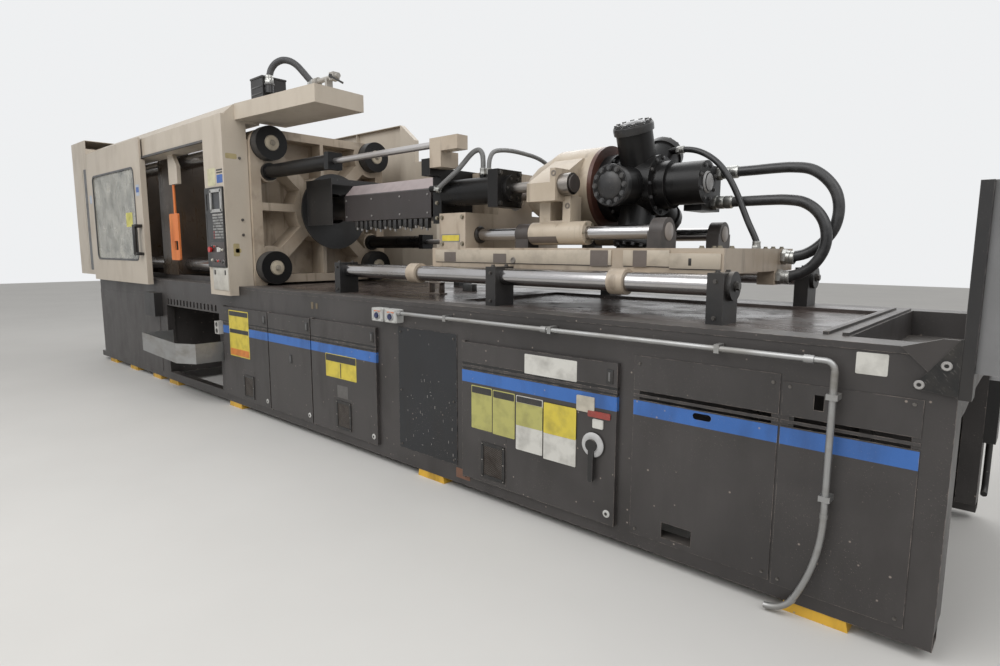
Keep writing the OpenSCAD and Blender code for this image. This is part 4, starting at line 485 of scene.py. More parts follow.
# Studio: pale floor, soft sky and three large lamps
studio = {"floorSize": 60, "floorColor": (0.62, 0.61, 0.59), "sky": 0.5, "backdrop": (0.86, 0.87, 0.88)}
lamps = [{"spot": (-4, -6, 7.5), "aim": (-4.5, 0.5, 1.2), "size": 7, "power": 520},
         {"spot": (3.5, -1, 6.5), "aim": (-2, 0.8, 1.2), "size": 5, "power": 210},
         {"spot": (-5, 7, 8), "aim": (-5, 0.9, 1.5), "size": 8, "power": 330}]


def makeStudio():
    scene = bpy.context.scene
    mesh = bmesh.new()
    bmesh.ops.create_grid(mesh, x_segments=1, y_segments=1, size=studio["floorSize"] / 2)
    floorMesh = bpy.data.meshes.new("studioFloor")
    mesh.to_mesh(floorMesh)
    mesh.free()
    floor = bpy.data.objects.new("studioFloor", floorMesh)
    scene.collection.objects.link(floor)
    material, tree, shader = newMaterial("studioFloor")
    coords = objectCoords(tree)
    soft = ramped(tree, noise(tree, coords, 0.6, 4), 0.3, 0.7)
    pale = tuple(0.94 * c for c in studio["floorColor"])
    coat(tree, shader, mixed(tree, soft, studio["floorColor"], pale), 0.7)
    floorMesh.materials.append(material)
    for i, lamp in enumerate(lamps):
        light = bpy.data.lights.new("softLamp%d" % i, "AREA")
        light.shape = "SQUARE"
        light.size = lamp["size"]
        light.energy = lamp["power"]
        item = bpy.data.objects.new(light.name, light)
        spot = place(*lamp["spot"])
        turn = (place(*lamp["aim"]) - spot).to_track_quat("-Z", "Y").to_matrix().to_4x4()
        item.matrix_world = Matrix.Translation(spot) @ turn
        scene.collection.objects.link(item)
    world = bpy.data.worlds.new("studioWorld")
    scene.world = world
    world.use_nodes = True
    tree = world.node_tree
    sky = tree.nodes["Background"]
    sky.inputs["Color"].default_value = (1, 0.99, 0.97, 1)
    sky.inputs["Strength"].default_value = studio["sky"]
    shown = addNode(tree, "Background", {"Color": studio["backdrop"], "Strength": 1.0})
    rays = addNode(tree, "LightPath").outputs
    seen = maths(tree, "MAXIMUM", maths(tree, "MAXIMUM", rays["Is Camera Ray"], rays["Is Glossy Ray"]),
                 rays["Is Transmission Ray"])
    both = addNode(tree, "MixShader", {0: seen, 1: sky.outputs[0], 2: shown.outputs[0]})
    tree.links.new(both.outputs[0], tree.nodes["World Output"].inputs["Surface"])
    scene.view_settings.view_transform = "Standard"


makeStudio()
print("camera and studio ready")


# Shapes: each helper adds to a bmesh, with places in the machine's own frame and a tint on every face
def newShape():
    shape = bmesh.new()
    shape.loops.layers.float_color.new("tint")
    return shape


def tintFaces(shape, verts, tint):
    layer = shape.loops.layers.float_color["tint"]
    for vert in verts:
        for loop in vert.link_loops:
            loop[layer] = (*tint, 1)


def edgesOf(verts):
    return list(dict.fromkeys(edge for vert in verts for edge in vert.link_edges))


def turnTo(way):
    return way.to_track_quat("Z", "Y").to_matrix().to_4x4()


def newVerts(made):
    return [item for item in made["geom"] if isinstance(item, bmesh.types.BMVert)]


def closeShape(shape, tint):
    bmesh.ops.recalc_face_normals(shape, faces=shape.faces[:])
    tintFaces(shape, shape.verts[:], tint)


def roundEdges(shape, edges, offset, segments=2):
    bmesh.ops.bevel(shape, geom=edges, offset=offset, offset_type="OFFSET", affect="EDGES", segments=segments,
                    profile=0.5, material=-1, clamp_overlap=True)


def boxIn(shape, low, high, tint=(0.3, 0.3, 0.3), bevel=0.0, corners=0.0, along=1):
    middle = place(*[(a + b) / 2 for a, b in zip(low, high)])
    size = Matrix.Diagonal((*[b - a for a, b in zip(low, high)], 1))
    verts = bmesh.ops.create_cube(shape, size=1, matrix=Matrix.Translation(middle) @ size)["verts"]
    tintFaces(shape, verts, tint)
    edges = edgesOf(verts)
    if corners:   # round only the corners seen along one axis
        ways = [(edge.verts[0].co - edge.verts[1].co).normalized() for edge in edges]
        upright = [edge for edge, way in zip(edges, ways) if abs(way[along]) > 0.99]
        roundEdges(shape, upright, corners, 4)
    elif bevel:
        roundEdges(shape, edges, bevel)


# Plate in an (x, z) plane, between a front and a back along y
def plateIn(shape, low, high, front, back, tint=(0.3, 0.3, 0.3), **rounding):
    boxIn(shape, (low[0], front, low[1]), (high[0], back, high[1]), tint, **rounding)


def rodIn(shape, start, end, radius, tint, sides, tip=None, bevel=0.0):
    a, b = place(*start), place(*end)
    verts = bmesh.ops.create_cone(shape, cap_ends=True, segments=sides, radius1=radius,
                                  radius2=radius if tip is None else tip, depth=(b - a).length,
                                  matrix=Matrix.Translation((a + b) / 2) @ turnTo(b - a))["verts"]
    tintFaces(shape, verts, tint)
    if bevel:
        roundEdges(shape, [edge for edge in edgesOf(verts) if edge.calc_face_angle(0) > 1.3], bevel)


# Turned form: outline of (radius, distance along the way) from a start
def turnedIn(shape, outline, start, way, tint, steps):
    lathe = newShape()
    verts = [lathe.verts.new((radius, 0, reach)) for radius, reach in outline]
    edges = [lathe.edges.new(pair) for pair in zip(verts, verts[1:])]
    bmesh.ops.spin(lathe, geom=verts + edges, axis=(0, 0, 1), cent=(0, 0, 0), angle=math.tau, steps=steps,
                   use_merge=True)
    bmesh.ops.remove_doubles(lathe, verts=lathe.verts[:], dist=1e-5)
    closeShape(lathe, tint)
    there = Matrix.Translation(place(*start)) @ turnTo(Vector(way))
    bmesh.ops.transform(lathe, matrix=there, verts=lathe.verts[:])
    joinShape(shape, lathe)


def joinShape(shape, other):
    between = bpy.data.meshes.new("between")
    other.to_mesh(between)
    other.free()
    shape.from_mesh(between)
    bpy.data.meshes.remove(between)


# Flat frame in an (x, z) plane, with round corners, that stands out towards the operator
def frameIn(shape, low, high, y, corner, width, proud, tint):
    ring = newShape()
    spots = [(low[0], low[1]), (high[0], low[1]), (high[0], high[1]), (low[0], high[1])]
    face = ring.faces.new([ring.verts.new(place(x, y, z)) for x, z in spots])
    bmesh.ops.bevel(ring, geom=ring.verts[:], offset=corner, offset_type="OFFSET", affect="VERTICES", segments=6,
                    profile=0.5, material=-1)
    inner = ring.faces[:]
    bmesh.ops.inset_region(ring, faces=inner, thickness=width, use_boundary=True, use_even_offset=True)
    bmesh.ops.delete(ring, geom=inner, context="FACES")
    made = bmesh.ops.extrude_face_region(ring, geom=ring.faces[:])
    bmesh.ops.translate(ring, vec=(0, -proud, 0), verts=newVerts(made))
    closeShape(ring, tint)
    joinShape(shape, ring)


# Hexagon bolt on its washer
def boltIn(shape, at, way, radius, tint):
    foot, way = Vector(at), Vector(way)
    rodIn(shape, foot - way * 0.002, foot + way * radius * 0.35, radius * 1.3, tint, 12)
    rodIn(shape, foot, foot + way * radius * 1.1, radius, tint, 6)


def newPiece(name, shape, material, body=None, smooth=40):
    mesh = bpy.data.meshes.new(name)
    shape.to_mesh(mesh)
    shape.free()
    mesh.materials.append(material)
    mesh.shade_smooth()
    mesh.set_sharp_from_angle(angle=math.radians(smooth))
    piece = bpy.data.objects.new(name, mesh)
    bpy.context.scene.collection.objects.link(piece)
    if body:
        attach(piece, body)
    return piece


# Materials that take their colour from the tint of each face
def makeTinted(name, gloss, dirt, wear, metallic=0.0):
    material, tree, shader = newMaterial(name, metallic)
    coords = objectCoords(tree)
    tint = addNode(tree, "Attribute", attribute_name="tint").outputs["Color"]
    grimy = ramped(tree, noise(tree, coords, 11, 6), 0.45, 0.75, 0, dirt)
    color = mixed(tree, grimy, tint, (0.07, 0.058, 0.046))
    slant = addNode(tree, "Mapping", {"Vector": coords, "Rotation": (0.2, 0.7, 0.1)}).outputs[0]
    scratched = ramped(tree, noise(tree, slant, 34, 2, (9, 9, 0.5)), 0.64, 0.74, 0, wear)
    color = mixed(tree, scratched, color, (0.4, 0.38, 0.35))
    edge = useGroup(tree, edgeWear, Amount=wear, Width=0.002)["Mask"]
    color = mixed(tree, edge, color, (0.35, 0.33, 0.3))
    coat(tree, shader, color, ramped(tree, grimy, 0, 0.6, gloss, gloss + 0.3))
    bumpFrom(tree, shader, noise(tree, coords, 300, 2), 0.0002, 0.3)
    return material


fittingPlastic = makeTinted("fittingPlastic", 0.32, 0.35, 0.25)
labelFilm = makeTinted("labelFilm", 0.45, 0.4, 0.3)
boltSteel = makeTinted("boltSteel", 0.32, 0.5, 0.4, metallic=0.85)


hoseLook = {"dust": 0.4, "pale": 0.09, "rough": 0.6}
hoseSkins = {"black": makeRubber("hoseBlack", (0.018, 0.018, 0.019), 0.34, **hoseLook),
             "grey": makeRubber("hoseGrey", (0.17, 0.17, 0.168), 0.45, ridges=1000.0, **hoseLook),
             "dark": makeRubber("hoseDark", (0.045, 0.045, 0.047), 0.4, ridges=1000.0, **hoseLook)}


# Free hoses, each along the route of the frame's own solid, which it replaces
hoses = {
    "canopy_hose": {"body": "base", "radius": 0.029, "skin": "dark", "route": [
        (-5.208, 0.17, 3.075), (-5.208, 0.17, 3.105), (-5.202, 0.174, 3.15), (-5.187, 0.184, 3.2),
        (-5.145, 0.206, 3.246), (-5.085, 0.238, 3.267), (-5.025, 0.275, 3.256), (-4.975, 0.31, 3.22),
        (-4.93, 0.34, 3.165), (-4.892, 0.362, 3.115), (-4.855, 0.376, 3.075), (-4.822, 0.38, 3.054),
        (-4.797, 0.38, 3.054)]},
    "crossover_hose": {"body": "carriage", "radius": 0.016, "skin": "grey", "route": [
        (-2.795, 0.48, 2.125), (-2.795, 0.48, 2.165), (-2.797, 0.492, 2.228), (-2.806, 0.54, 2.28),
        (-2.822, 0.64, 2.306), (-2.845, 0.79, 2.32), (-2.872, 0.95, 2.323), (-2.897, 1.12, 2.318),
        (-2.912, 1.24, 2.3), (-2.919, 1.325, 2.268), (-2.92, 1.368, 2.218), (-2.92, 1.38, 2.165),
        (-2.92, 1.38, 2.125)]},
    "cylinder_conduit": {"body": "carriage", "radius": 0.018, "skin": "grey", "route": [
        (-3.215, 0.364, 2.04), (-3.195, 0.364, 2.04), (-3.13, 0.363, 2.075), (-3.065, 0.365, 2.112),
        (-3.01, 0.378, 2.152), (-2.97, 0.41, 2.21), (-2.943, 0.44, 2.258), (-2.915, 0.462, 2.288),
        (-2.882, 0.475, 2.294), (-2.858, 0.48, 2.265), (-2.85, 0.48, 2.215), (-2.85, 0.48, 2.165),
        (-2.85, 0.48, 2.125)]},
    "main_hose_upper": {"between": (2.04, 1.62), "radius": 0.032, "skin": "black", "route": [
        (-1.48, 1.28, 2.1), (-1.38, 1.28, 2.1), (-1.25, 1.28, 2.101), (-1.12, 1.28, 2.103), (-1.02, 1.28, 2.1),
        (-0.915, 1.28, 2.08), (-0.83, 1.28, 2.02), (-0.77, 1.28, 1.935), (-0.75, 1.28, 1.83),
        (-0.77, 1.28, 1.725), (-0.83, 1.28, 1.64), (-0.915, 1.28, 1.58), (-1.01, 1.28, 1.56),
        (-1.05, 1.28, 1.56)]},
    "main_hose_lower": {"between": (1.86, 1.49), "radius": 0.032, "skin": "black", "route": [
        (-1.48, 1.21, 1.905), (-1.38, 1.21, 1.905), (-1.25, 1.21, 1.906), (-1.11, 1.21, 1.906),
        (-1.02, 1.21, 1.902), (-0.93, 1.21, 1.885), (-0.855, 1.21, 1.835), (-0.805, 1.21, 1.76),
        (-0.788, 1.21, 1.67), (-0.805, 1.21, 1.585), (-0.855, 1.21, 1.508), (-0.93, 1.21, 1.458),
        (-1.01, 1.21, 1.44), (-1.05, 1.21, 1.44)]},
    "drain_hose": {"between": (2.15, 1.66), "radius": 0.019, "skin": "black", "route": [
        (-1.7, 1.13, 2.25), (-1.64, 1.13, 2.25), (-1.56, 1.13, 2.232), (-1.48, 1.13, 2.19),
        (-1.41, 1.13, 2.13), (-1.35, 1.13, 2.05), (-1.3, 1.13, 1.96), (-1.255, 1.13, 1.86),
        (-1.215, 1.13, 1.77), (-1.18, 1.13, 1.7), (-1.16, 1.13, 1.655), (-1.158, 1.13, 1.635),
        (-1.158, 1.13, 1.61)]},
}


# Denser points on a soft curve through the route
def smoothRoute(route, steps=5):
    points = [place(*spot) for spot in route]
    dense = [points[0]]
    for i in range(len(points) - 1):
        before, a, b, after = (points[max(i - 1, 0)], points[i], points[i + 1],
                               points[min(i + 2, len(points) - 1)])
        for k in range(1, steps + 1):
            t = k / steps
            dense.append(0.5 * (2 * a + (b - before) * t + (2 * before - 5 * a + 4 * b - after) * t * t
                                + (3 * a - before - 3 * b + after) * t ** 3))
    return dense


# Round tube: a circle drawn along the points, with its distance kept as an attribute
def tubeAlong(points, radius, sides=20):
    shape = bmesh.new()
    along = shape.verts.layers.float.new("along")
    last = len(points) - 1
    ways = [(points[min(i + 1, last)] - points[max(i - 1, 0)]).normalized() for i in range(last + 1)]
    turn = ways[0].to_track_quat("Z", "Y")
    here = Matrix.Translation(points[0]) @ turn.to_matrix().to_4x4()
    verts = bmesh.ops.create_circle(shape, cap_ends=True, segments=sides, radius=radius, matrix=here)["verts"]
    edges = edgesOf(verts)
    distance = 0.0
    for i in range(1, last + 1):
        turn = ways[i - 1].rotation_difference(ways[i]) @ turn
        there = Matrix.Translation(points[i]) @ turn.to_matrix().to_4x4()
        made = bmesh.ops.extrude_edge_only(shape, edges=edges)
        verts = newVerts(made)
        edges = [item for item in made["geom"]
                 if isinstance(item, bmesh.types.BMEdge) and len(item.link_faces) == 1]
        bmesh.ops.transform(shape, matrix=there @ here.inverted(), verts=verts)
        distance += (points[i] - points[i - 1]).length
        for vert in verts:
            vert[along] = distance
        here = there
    bmesh.ops.contextual_create(shape, geom=edges)
    bmesh.ops.recalc_face_normals(shape, faces=shape.faces[:])
    return shape


# Crimped end: hexagon at the port, then the sleeve, with one groove
def ferrule(name, spot, way, radius, body, stretch=1.0):
    shape = newShape()
    start = spot - machineZero
    silver = (0.42, 0.42, 0.4)
    rodIn(shape, start - way * 0.004, start + way * radius * 0.9, radius * 1.45, silver, 6, bevel=radius * 0.08)
    outline = [(1.02, 0.0), (1.28, 0.2), (1.28, 0.8), (1.18, 0.9), (1.28, 1.0), (1.28, 1.6), (1.02, 1.75)]
    outline = [(radius * out, radius * stretch * along) for out, along in outline]
    turnedIn(shape, outline, start + way * radius * 0.7, way, silver, 24)
    return newPiece(name, shape, boltSteel, body)


def makeHoses():
    for name, hose in hoses.items():
        points = smoothRoute(hose["route"])
        bodies = ("drive", "carriage") if "between" in hose else (hose["body"], hose["body"])
        tube = newPiece(name + ".round", tubeAlong(points, hose["radius"]), hoseSkins[hose["skin"]], smooth=60)
        if "between" in hose:
            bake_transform(tube)
        else:
            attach(tube, hose["body"])
        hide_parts(name)
        ends = [ferrule(name + ".startEnd", points[0], (points[1] - points[0]).normalized(), hose["radius"],
                        bodies[0], 2.0 if hose["radius"] > 0.03 else 1.0),
                ferrule(name + ".farEnd", points[-1], (points[-2] - points[-1]).normalized(), hose["radius"],
                        bodies[1])]


makeHoses()
print("hoses in place:", len(hoses))

# Operator panel: screen, keys, the button plate and the white door below
ivory, jet, red = (0.55, 0.52, 0.44), (0.02, 0.02, 0.02), (0.45, 0.03, 0.025)
panel = {"face": -0.113, "column": -0.095, "bezel": ((-5.91, 1.942), (-5.664, 2.16)),
         "screen": ((-5.875, 1.972), (-5.7, 2.13)), "keys": ((-5.885, 1.69), (-5.668, 1.932)), "keyGrid": (7, 9),
         "plate": ((-5.955, 1.435), (-5.665, 1.662)), "door": ((-5.968, 1.2), (-5.648, 1.418)),
         "studs": [(-5.93, 1.489, 0.014, ivory), (-5.7, 1.473, 0.017, jet), (-5.85, 1.48, 0.012, jet),
                   (-5.8, 1.48, 0.012, red), (-5.94, 1.62, 0.011, jet), (-5.9, 1.62, 0.011, jet),
                   (-5.86, 1.62, 0.011, red), (-5.7, 1.586, 0.012, ivory)]}


def makePanel():
    shape = newShape()
    y = panel["face"]
    frameIn(shape, *panel["bezel"], y + 0.001, 0.008, 0.03, 0.012, (0.36, 0.36, 0.35))
    plateIn(shape, *panel["screen"], y + 0.003, y + 0.0055, (0.012, 0.014, 0.018), corners=0.006)
    (x0, z0), (x1, z1) = panel["keys"]
    columns, rows = panel["keyGrid"]
    wide, tall = (x1 - x0) / columns, (z1 - z0) / rows
    for i in range(columns):
        for k in range(rows):
            tint = (0.26, 0.26, 0.25)
            if k == rows - 1:
                tint = (0.36, 0.35, 0.33)
            elif i == 0 and k < 3:
                tint = (0.2, 0.03, 0.025)
            elif (i + k) % 5 == 0:
                tint = (0.13, 0.13, 0.13)
            plateIn(shape, (x0 + (i + 0.12) * wide, z0 + (k + 0.15) * tall),
                    (x0 + (i + 0.88) * wide, z0 + (k + 0.85) * tall), y - 0.003, y + 0.003, tint, bevel=0.0012)
    plateIn(shape, *panel["plate"], y - 0.002, y + 0.001, (0.03, 0.02, 0.019), corners=0.008)
    for x, z, radius, tint in panel["studs"]:
        rodIn(shape, (x, y - 0.001, z), (x, y - 0.006, z), radius * 1.25, (0.3, 0.3, 0.3), 20, bevel=0.001)
        rodIn(shape, (x, y - 0.004, z), (x, y - 0.018, z), radius, tint, 20, radius * 0.85, bevel=0.002)
    (x0, z0), (x1, z1) = panel["door"]
    y = panel["column"]
    plateIn(shape, (x0, z0), (x1, z1), y - 0.009, y + 0.001, (0.5, 0.48, 0.43), bevel=0.003)
    for x in (x0 + 0.05, x1 - 0.05):
        plateIn(shape, (x - 0.011, z1 - 0.07), (x + 0.011, z1 - 0.025), y - 0.014, y - 0.008, jet, bevel=0.002)
    newPiece("panelFittings", shape, fittingPlastic, "base")


# Coloured fields, all blank: (body, plane, [(low corner, high corner, tint)]), corners across and up
yellow, paper, ink, orange = (0.62, 0.5, 0.06), (0.6, 0.59, 0.55), (0.025, 0.025, 0.025), (0.6, 0.2, 0.04)
lime, blue, rust = (0.43, 0.41, 0.13), (0.03, 0.1, 0.34), (0.16, 0.075, 0.045)
doorFace = -0.025
fields = {
    "doorOneLabels": ("door_one", doorFace, [
        ((-5.855, 0.545), (-5.45, 1.0), yellow), ((-5.845, 0.945), (-5.46, 0.99), ink),
        ((-5.845, 0.775), (-5.46, 0.815), ink), ((-5.845, 0.555), (-5.46, 0.62), orange)]),
    "doorThreeLabels": ("door_three", doorFace, [
        ((-4.14, 0.575), (-3.72, 0.765), yellow), ((-4.135, 0.705), (-3.725, 0.76), ink),
        ((-3.935, 0.58), (-3.925, 0.7), ink)]),
    "cabinetLabels": ("cabinet", doorFace, [
        ((-2.04, 0.882), (-1.67, 0.998), paper), ((-2.475, 0.47), (-2.298, 0.748), lime),
        ((-2.47, 0.7), (-2.303, 0.742), ink), ((-2.29, 0.465), (-2.112, 0.745), lime),
        ((-2.285, 0.697), (-2.117, 0.739), ink), ((-2.1, 0.41), (-1.9, 0.742), paper),
        ((-2.1, 0.56), (-1.9, 0.7), lime), ((-2.095, 0.702), (-1.905, 0.738), ink),
        ((-1.89, 0.4), (-1.665, 0.735), paper), ((-1.89, 0.555), (-1.665, 0.735), yellow),
        ((-1.665, 0.728), (-1.55, 0.815), (0.5, 0.46, 0.38)), ((-1.59, 0.708), (-1.45, 0.742), (0.3, 0.05, 0.04)),
        ((-1.558, 0.65), (-1.492, 0.7), paper)]),
    "columnLabels": ("base", -0.095, [
        ((-5.987, 2.198), (-5.82, 2.362), (0.55, 0.52, 0.34)), ((-5.79, 2.216), (-5.668, 2.292), blue),
        ((-5.79, 2.305), (-5.668, 2.318), ink), ((-5.79, 2.33), (-5.668, 2.343), ink)]),
    "doorThreeStamp": ("door_three", doorFace, [((-3.985, 0.42), (-3.84, 0.52), (0.1, 0.095, 0.09))]),
    "railStain": ("base", -0.0005, [((-2.645, 0.088), (-2.515, 0.155), rust)]),
    "beamLabels": ("base", -0.0005, [
        ((-0.34, 1.112), (-0.228, 1.2), paper), ((-4.37, 1.105), (-4.335, 1.162), (0.13, 0.1, 0.06)),
        ((-4.3, 1.11), (-4.27, 1.155), (0.13, 0.1, 0.06))]),
    "gateLabels": ("gate", -0.1, [
        ((-9.72, 2.2), (-9.63, 2.31), (0.4, 0.46, 0.55)), ((-7.94, 2.21), (-7.83, 2.34), (0.42, 0.47, 0.55)),
        ((-7.93, 2.25), (-7.84, 2.31), blue)]),
    "windowNote": ("gate", -0.0945, [((-8.36, 1.86), (-8.14, 2.03), (0.6, 0.56, 0.12))]),
    "blockLabel": ("carriage", 0.38, [
        ((-3.18, 1.652), (-2.985, 1.71), (0.2, 0.2, 0.19)), ((-3.172, 1.66), (-2.993, 1.702), yellow)]),
}


def makeFields():
    film = 0.0006
    for name, (body, plane, items) in fields.items():
        shape = newShape()
        for i, (low, high, tint) in enumerate(items):
            plateIn(shape, low, high, plane - film * (1 + i), plane + 0.0004, tint, corners=0.006)
        newPiece(name, shape, labelFilm, body)


# Doors: black slot latch above, round lock below, framed wire grilles over the vents with painted shade between
# the wires, and plain sheets behind them
doors = {
    "doorOneFittings": {"body": "door_one", "lock": (-5.141, 0.189), "latches": [(-5.141, 0.95)],
                        "grille": ((-5.588, 0.16), (-5.385, 0.382))},
    "doorTwoFittings": {"body": "door_two", "lock": (-4.413, 0.189), "latches": [(-4.413, 0.95), (-4.69, 0.644)],
                        "grille": None},
    "doorThreeFittings": {"body": "door_three", "lock": (-3.513, 0.189), "latches": [(-3.513, 0.95)],
                          "grille": ((-4.0, 0.165), (-3.8, 0.395))},
    "cabinetFittings": {"body": "cabinet", "lock": (-1.461, 0.189), "latches": [(-1.461, 0.942)],
                        "grille": ((-2.385, 0.165), (-2.188, 0.395))},
}
ventBlanks = {"doorOneBlank": ("door_one", (-5.6, 0.15), (-5.37, 0.43)),
              "doorThreeBlank": ("door_three", (-4.05, 0.15), (-3.79, 0.42)),
              "cabinetBlank": ("cabinet", (-2.41, 0.15), (-2.18, 0.4675))}
switchRing = {"middle": (-1.55, -0.035, 0.557), "tint": (0.5, 0.5, 0.5),
              "outline": [(0.03, 0.0), (0.068, 0.0), (0.068, 0.004), (0.06, 0.009), (0.046, 0.012), (0.03, 0.012)]}


def makeWire():
    material, tree, shader = newMaterial("grilleWire", metallic=0.3)
    coords = objectCoords(tree)
    slant = addNode(tree, "Mapping", {"Vector": coords, "Rotation": (0, math.radians(38), 0)}).outputs[0]
    spots = addNode(tree, "SeparateXYZ", {"Vector": slant}).outputs
    waves = [maths(tree, "SINE", times(tree, spots[i], 620.0)) for i in (0, 2)]
    wire = ramped(tree, maths(tree, "MAXIMUM", *waves), 0.55, 0.85)
    rusty = ramped(tree, noise(tree, coords, 18, 4), 0.4, 0.7)
    strand = mixed(tree, rusty, (0.12, 0.1, 0.085), (0.05, 0.032, 0.022))
    # near-black between the wires: painted shade behind the grille
    coat(tree, shader, mixed(tree, wire, (0.008, 0.007, 0.006), strand), 0.5)
    bumpFrom(tree, shader, wire, 0.001, 0.8)
    return material


grilleWire = makeWire()


def makeDoorFittings():
    y, inset = doorFace, 0.015
    lock = [(0.006, 0.003), (0.009, 0.0), (0.021, 0.0), (0.021, 0.003), (0.017, 0.006), (0.009, 0.006)]
    for name, door in doors.items():
        shape = newShape()
        x, z = door["lock"]
        turnedIn(shape, lock, (x, y, z), toOperator, (0.5, 0.5, 0.48), 24)
        for x, z in door["latches"]:
            plateIn(shape, (x - 0.02, z - 0.038), (x + 0.02, z + 0.038), y - 0.005, y + 0.001, jet, bevel=0.002)
            plateIn(shape, (x - 0.006, z - 0.024), (x + 0.006, z + 0.024), y - 0.009, y - 0.003,
                    (0.14, 0.14, 0.14), bevel=0.002)
        if door["grille"]:
            low, high = door["grille"]
            frameIn(shape, low, high, y - 0.001, 0.006, 0.02, 0.007, (0.015, 0.015, 0.015))
            for x in (low[0] + 0.01, high[0] - 0.01):
                for z in (low[1] + 0.01, (low[1] + high[1]) / 2, high[1] - 0.01):
                    rodIn(shape, (x, y - 0.006, z), (x, y - 0.011, z), 0.004, (0.3, 0.28, 0.26), 8)
            wire = newShape()
            plateIn(wire, (low[0] + inset, low[1] + inset), (high[0] - inset, high[1] - inset),
                    y - 0.004, y - 0.0015)
            newPiece(name + ".wire", wire, grilleWire, door["body"])
        newPiece(name, shape, fittingPlastic, door["body"])
    for name, (body, low, high) in ventBlanks.items():
        sheet = newShape()
        plateIn(sheet, low, high, y - 0.0012, y + 0.0005)
        newPiece(name, sheet, baseGrey, body)
    ring = newShape()
    turnedIn(ring, switchRing["outline"], switchRing["middle"], toOperator, switchRing["tint"], 40)
    newPiece("switchRing", ring, fittingPlastic, "cabinet")


# Gate: the window's gasket
gate = {"window": ((-9.544, 1.46), (-7.992, 2.545)), "face": -0.1, "gasket": 0.022}


def makeGateTrim():
    shape = newShape()
    (x0, z0), (x1, z1) = gate["window"]
    lap = gate["gasket"] / 2
    frameIn(shape, (x0 - lap, z0 - lap), (x1 + lap, z1 + lap), gate["face"] + 0.003, 0.08, gate["gasket"],
            0.008, (0.015, 0.015, 0.016))
    newPiece("windowGasket", shape, hoseSkins["black"], "gate")


makePanel()
makeFields()
makeDoorFittings()
makeGateTrim()
print("panel, labels, door fittings and gasket ready")

# Bolts; the drive's axis, the cylinders and the guide rods run along x, the last two on both sides
axis = {"y": 0.93, "z": 2.01}
cylinderLine = {"sides": (0.48, 1.38), "z": 2.01}
guideLine = {"sides": (0.53, 1.33), "z": 1.705}


def onAxis(x):
    return Vector((x, axis["y"], axis["z"]))


def ringOf(middle, radius, count, way, start=0.0):
    way = Vector(way)
    across = Vector(alongX) if abs(way.x) < 0.9 else Vector((0, 1, 0))
    up = way.cross(across).normalized()
    return [Vector(middle) + radius * (math.cos(start + math.tau * i / count) * across
                                       + math.sin(start + math.tau * i / count) * up) for i in range(count)]


# Rows of bolts on one body: (places, way, radius)
def boltPiece(name, body, rows, tint):
    shape = newShape()
    for spots, way, radius in rows:
        for spot in spots:
            boltIn(shape, spot, way, radius, tint)
    newPiece(name, shape, boltSteel, body)


# Flanges of the motor: x, ring radius, how many bolts, angle of the first, bolt radius
motor = {"x": -1.8425, "tilt": 3, "cylinders": 5, "reach": 0.4, "capRing": 0.103, "rear": -1.4,
         "flanges": [(-1.4, 0.105, 8, 0.4, 0.01), (-1.985, 0.205, 14, 0.0, 0.011), (-1.7, 0.17, 12, 0.0, 0.01)]}


def makeMotorTrim():
    middle = onAxis(motor["x"])
    shape = newShape()
    dark, enamel = (0.05, 0.05, 0.052), (0.018, 0.018, 0.019)
    cap = [(0.0, 0.018), (0.03, 0.018), (0.045, 0.014), (0.075, 0.012), (0.084, 0.004), (0.084, -0.002)]
    rim = [(0.114, -0.052), (0.126, -0.05), (0.128, -0.02), (0.126, -0.006), (0.118, 0.001), (0.114, 0.001)]
    for i in range(motor["cylinders"]):
        angle = math.radians(motor["tilt"] + 360 / motor["cylinders"] * i)
        way = Vector((0, -math.cos(angle), -math.sin(angle)))
        top = middle + way * motor["reach"]
        for spot in ringOf(top, motor["capRing"], 12, way):
            boltIn(shape, spot, way, 0.0135, dark)
        turnedIn(shape, cap, top, way, enamel, 32)
        turnedIn(shape, rim, top, way, enamel, 40)
    for x, ring, count, start, radius in motor["flanges"]:
        for spot in ringOf(onAxis(x), ring, count, alongX, start):
            boltIn(shape, spot, alongX, radius, dark)
    turnedIn(shape, [(0.057, -0.002), (0.066, 0.0), (0.064, 0.006), (0.05, 0.016), (0.0, 0.019)],
             onAxis(motor["rear"]), alongX, (0.3, 0.3, 0.3), 32)
    newPiece("motorTrim", shape, fittingPlastic, "drive")


nuts = {"face": -5.48, "across": 0.615, "up": 0.595}
pedestals = {"spans": [(-4.245, -4.17), (-2.522, -2.437), (-1.04, -0.955)], "sides": (0.245, 1.615), "top": 1.49}


def makeNutCovers():
    cover = newShape()
    face = nuts["face"]
    cap = [(0.0, 0.0105), (0.062, 0.0105), (0.072, 0.006), (0.073, -0.002)]
    collar = [(0.148, -0.004), (0.162, -0.006), (0.162, -0.1), (0.148, -0.102)]
    for y in (axis["y"] - nuts["across"], axis["y"] + nuts["across"]):
        for z in (axis["z"] - nuts["up"], axis["z"] + nuts["up"]):
            turnedIn(cover, cap, (face, y, z), alongX, (0.5, 0.44, 0.34), 36)
            boltIn(cover, (face + 0.01, y, z), alongX, 0.022, (0.3, 0.27, 0.22))
            turnedIn(cover, collar, (face, y, z), alongX, (0.03, 0.03, 0.031), 40)
    newPiece("nutCovers", cover, labelFilm, "base")


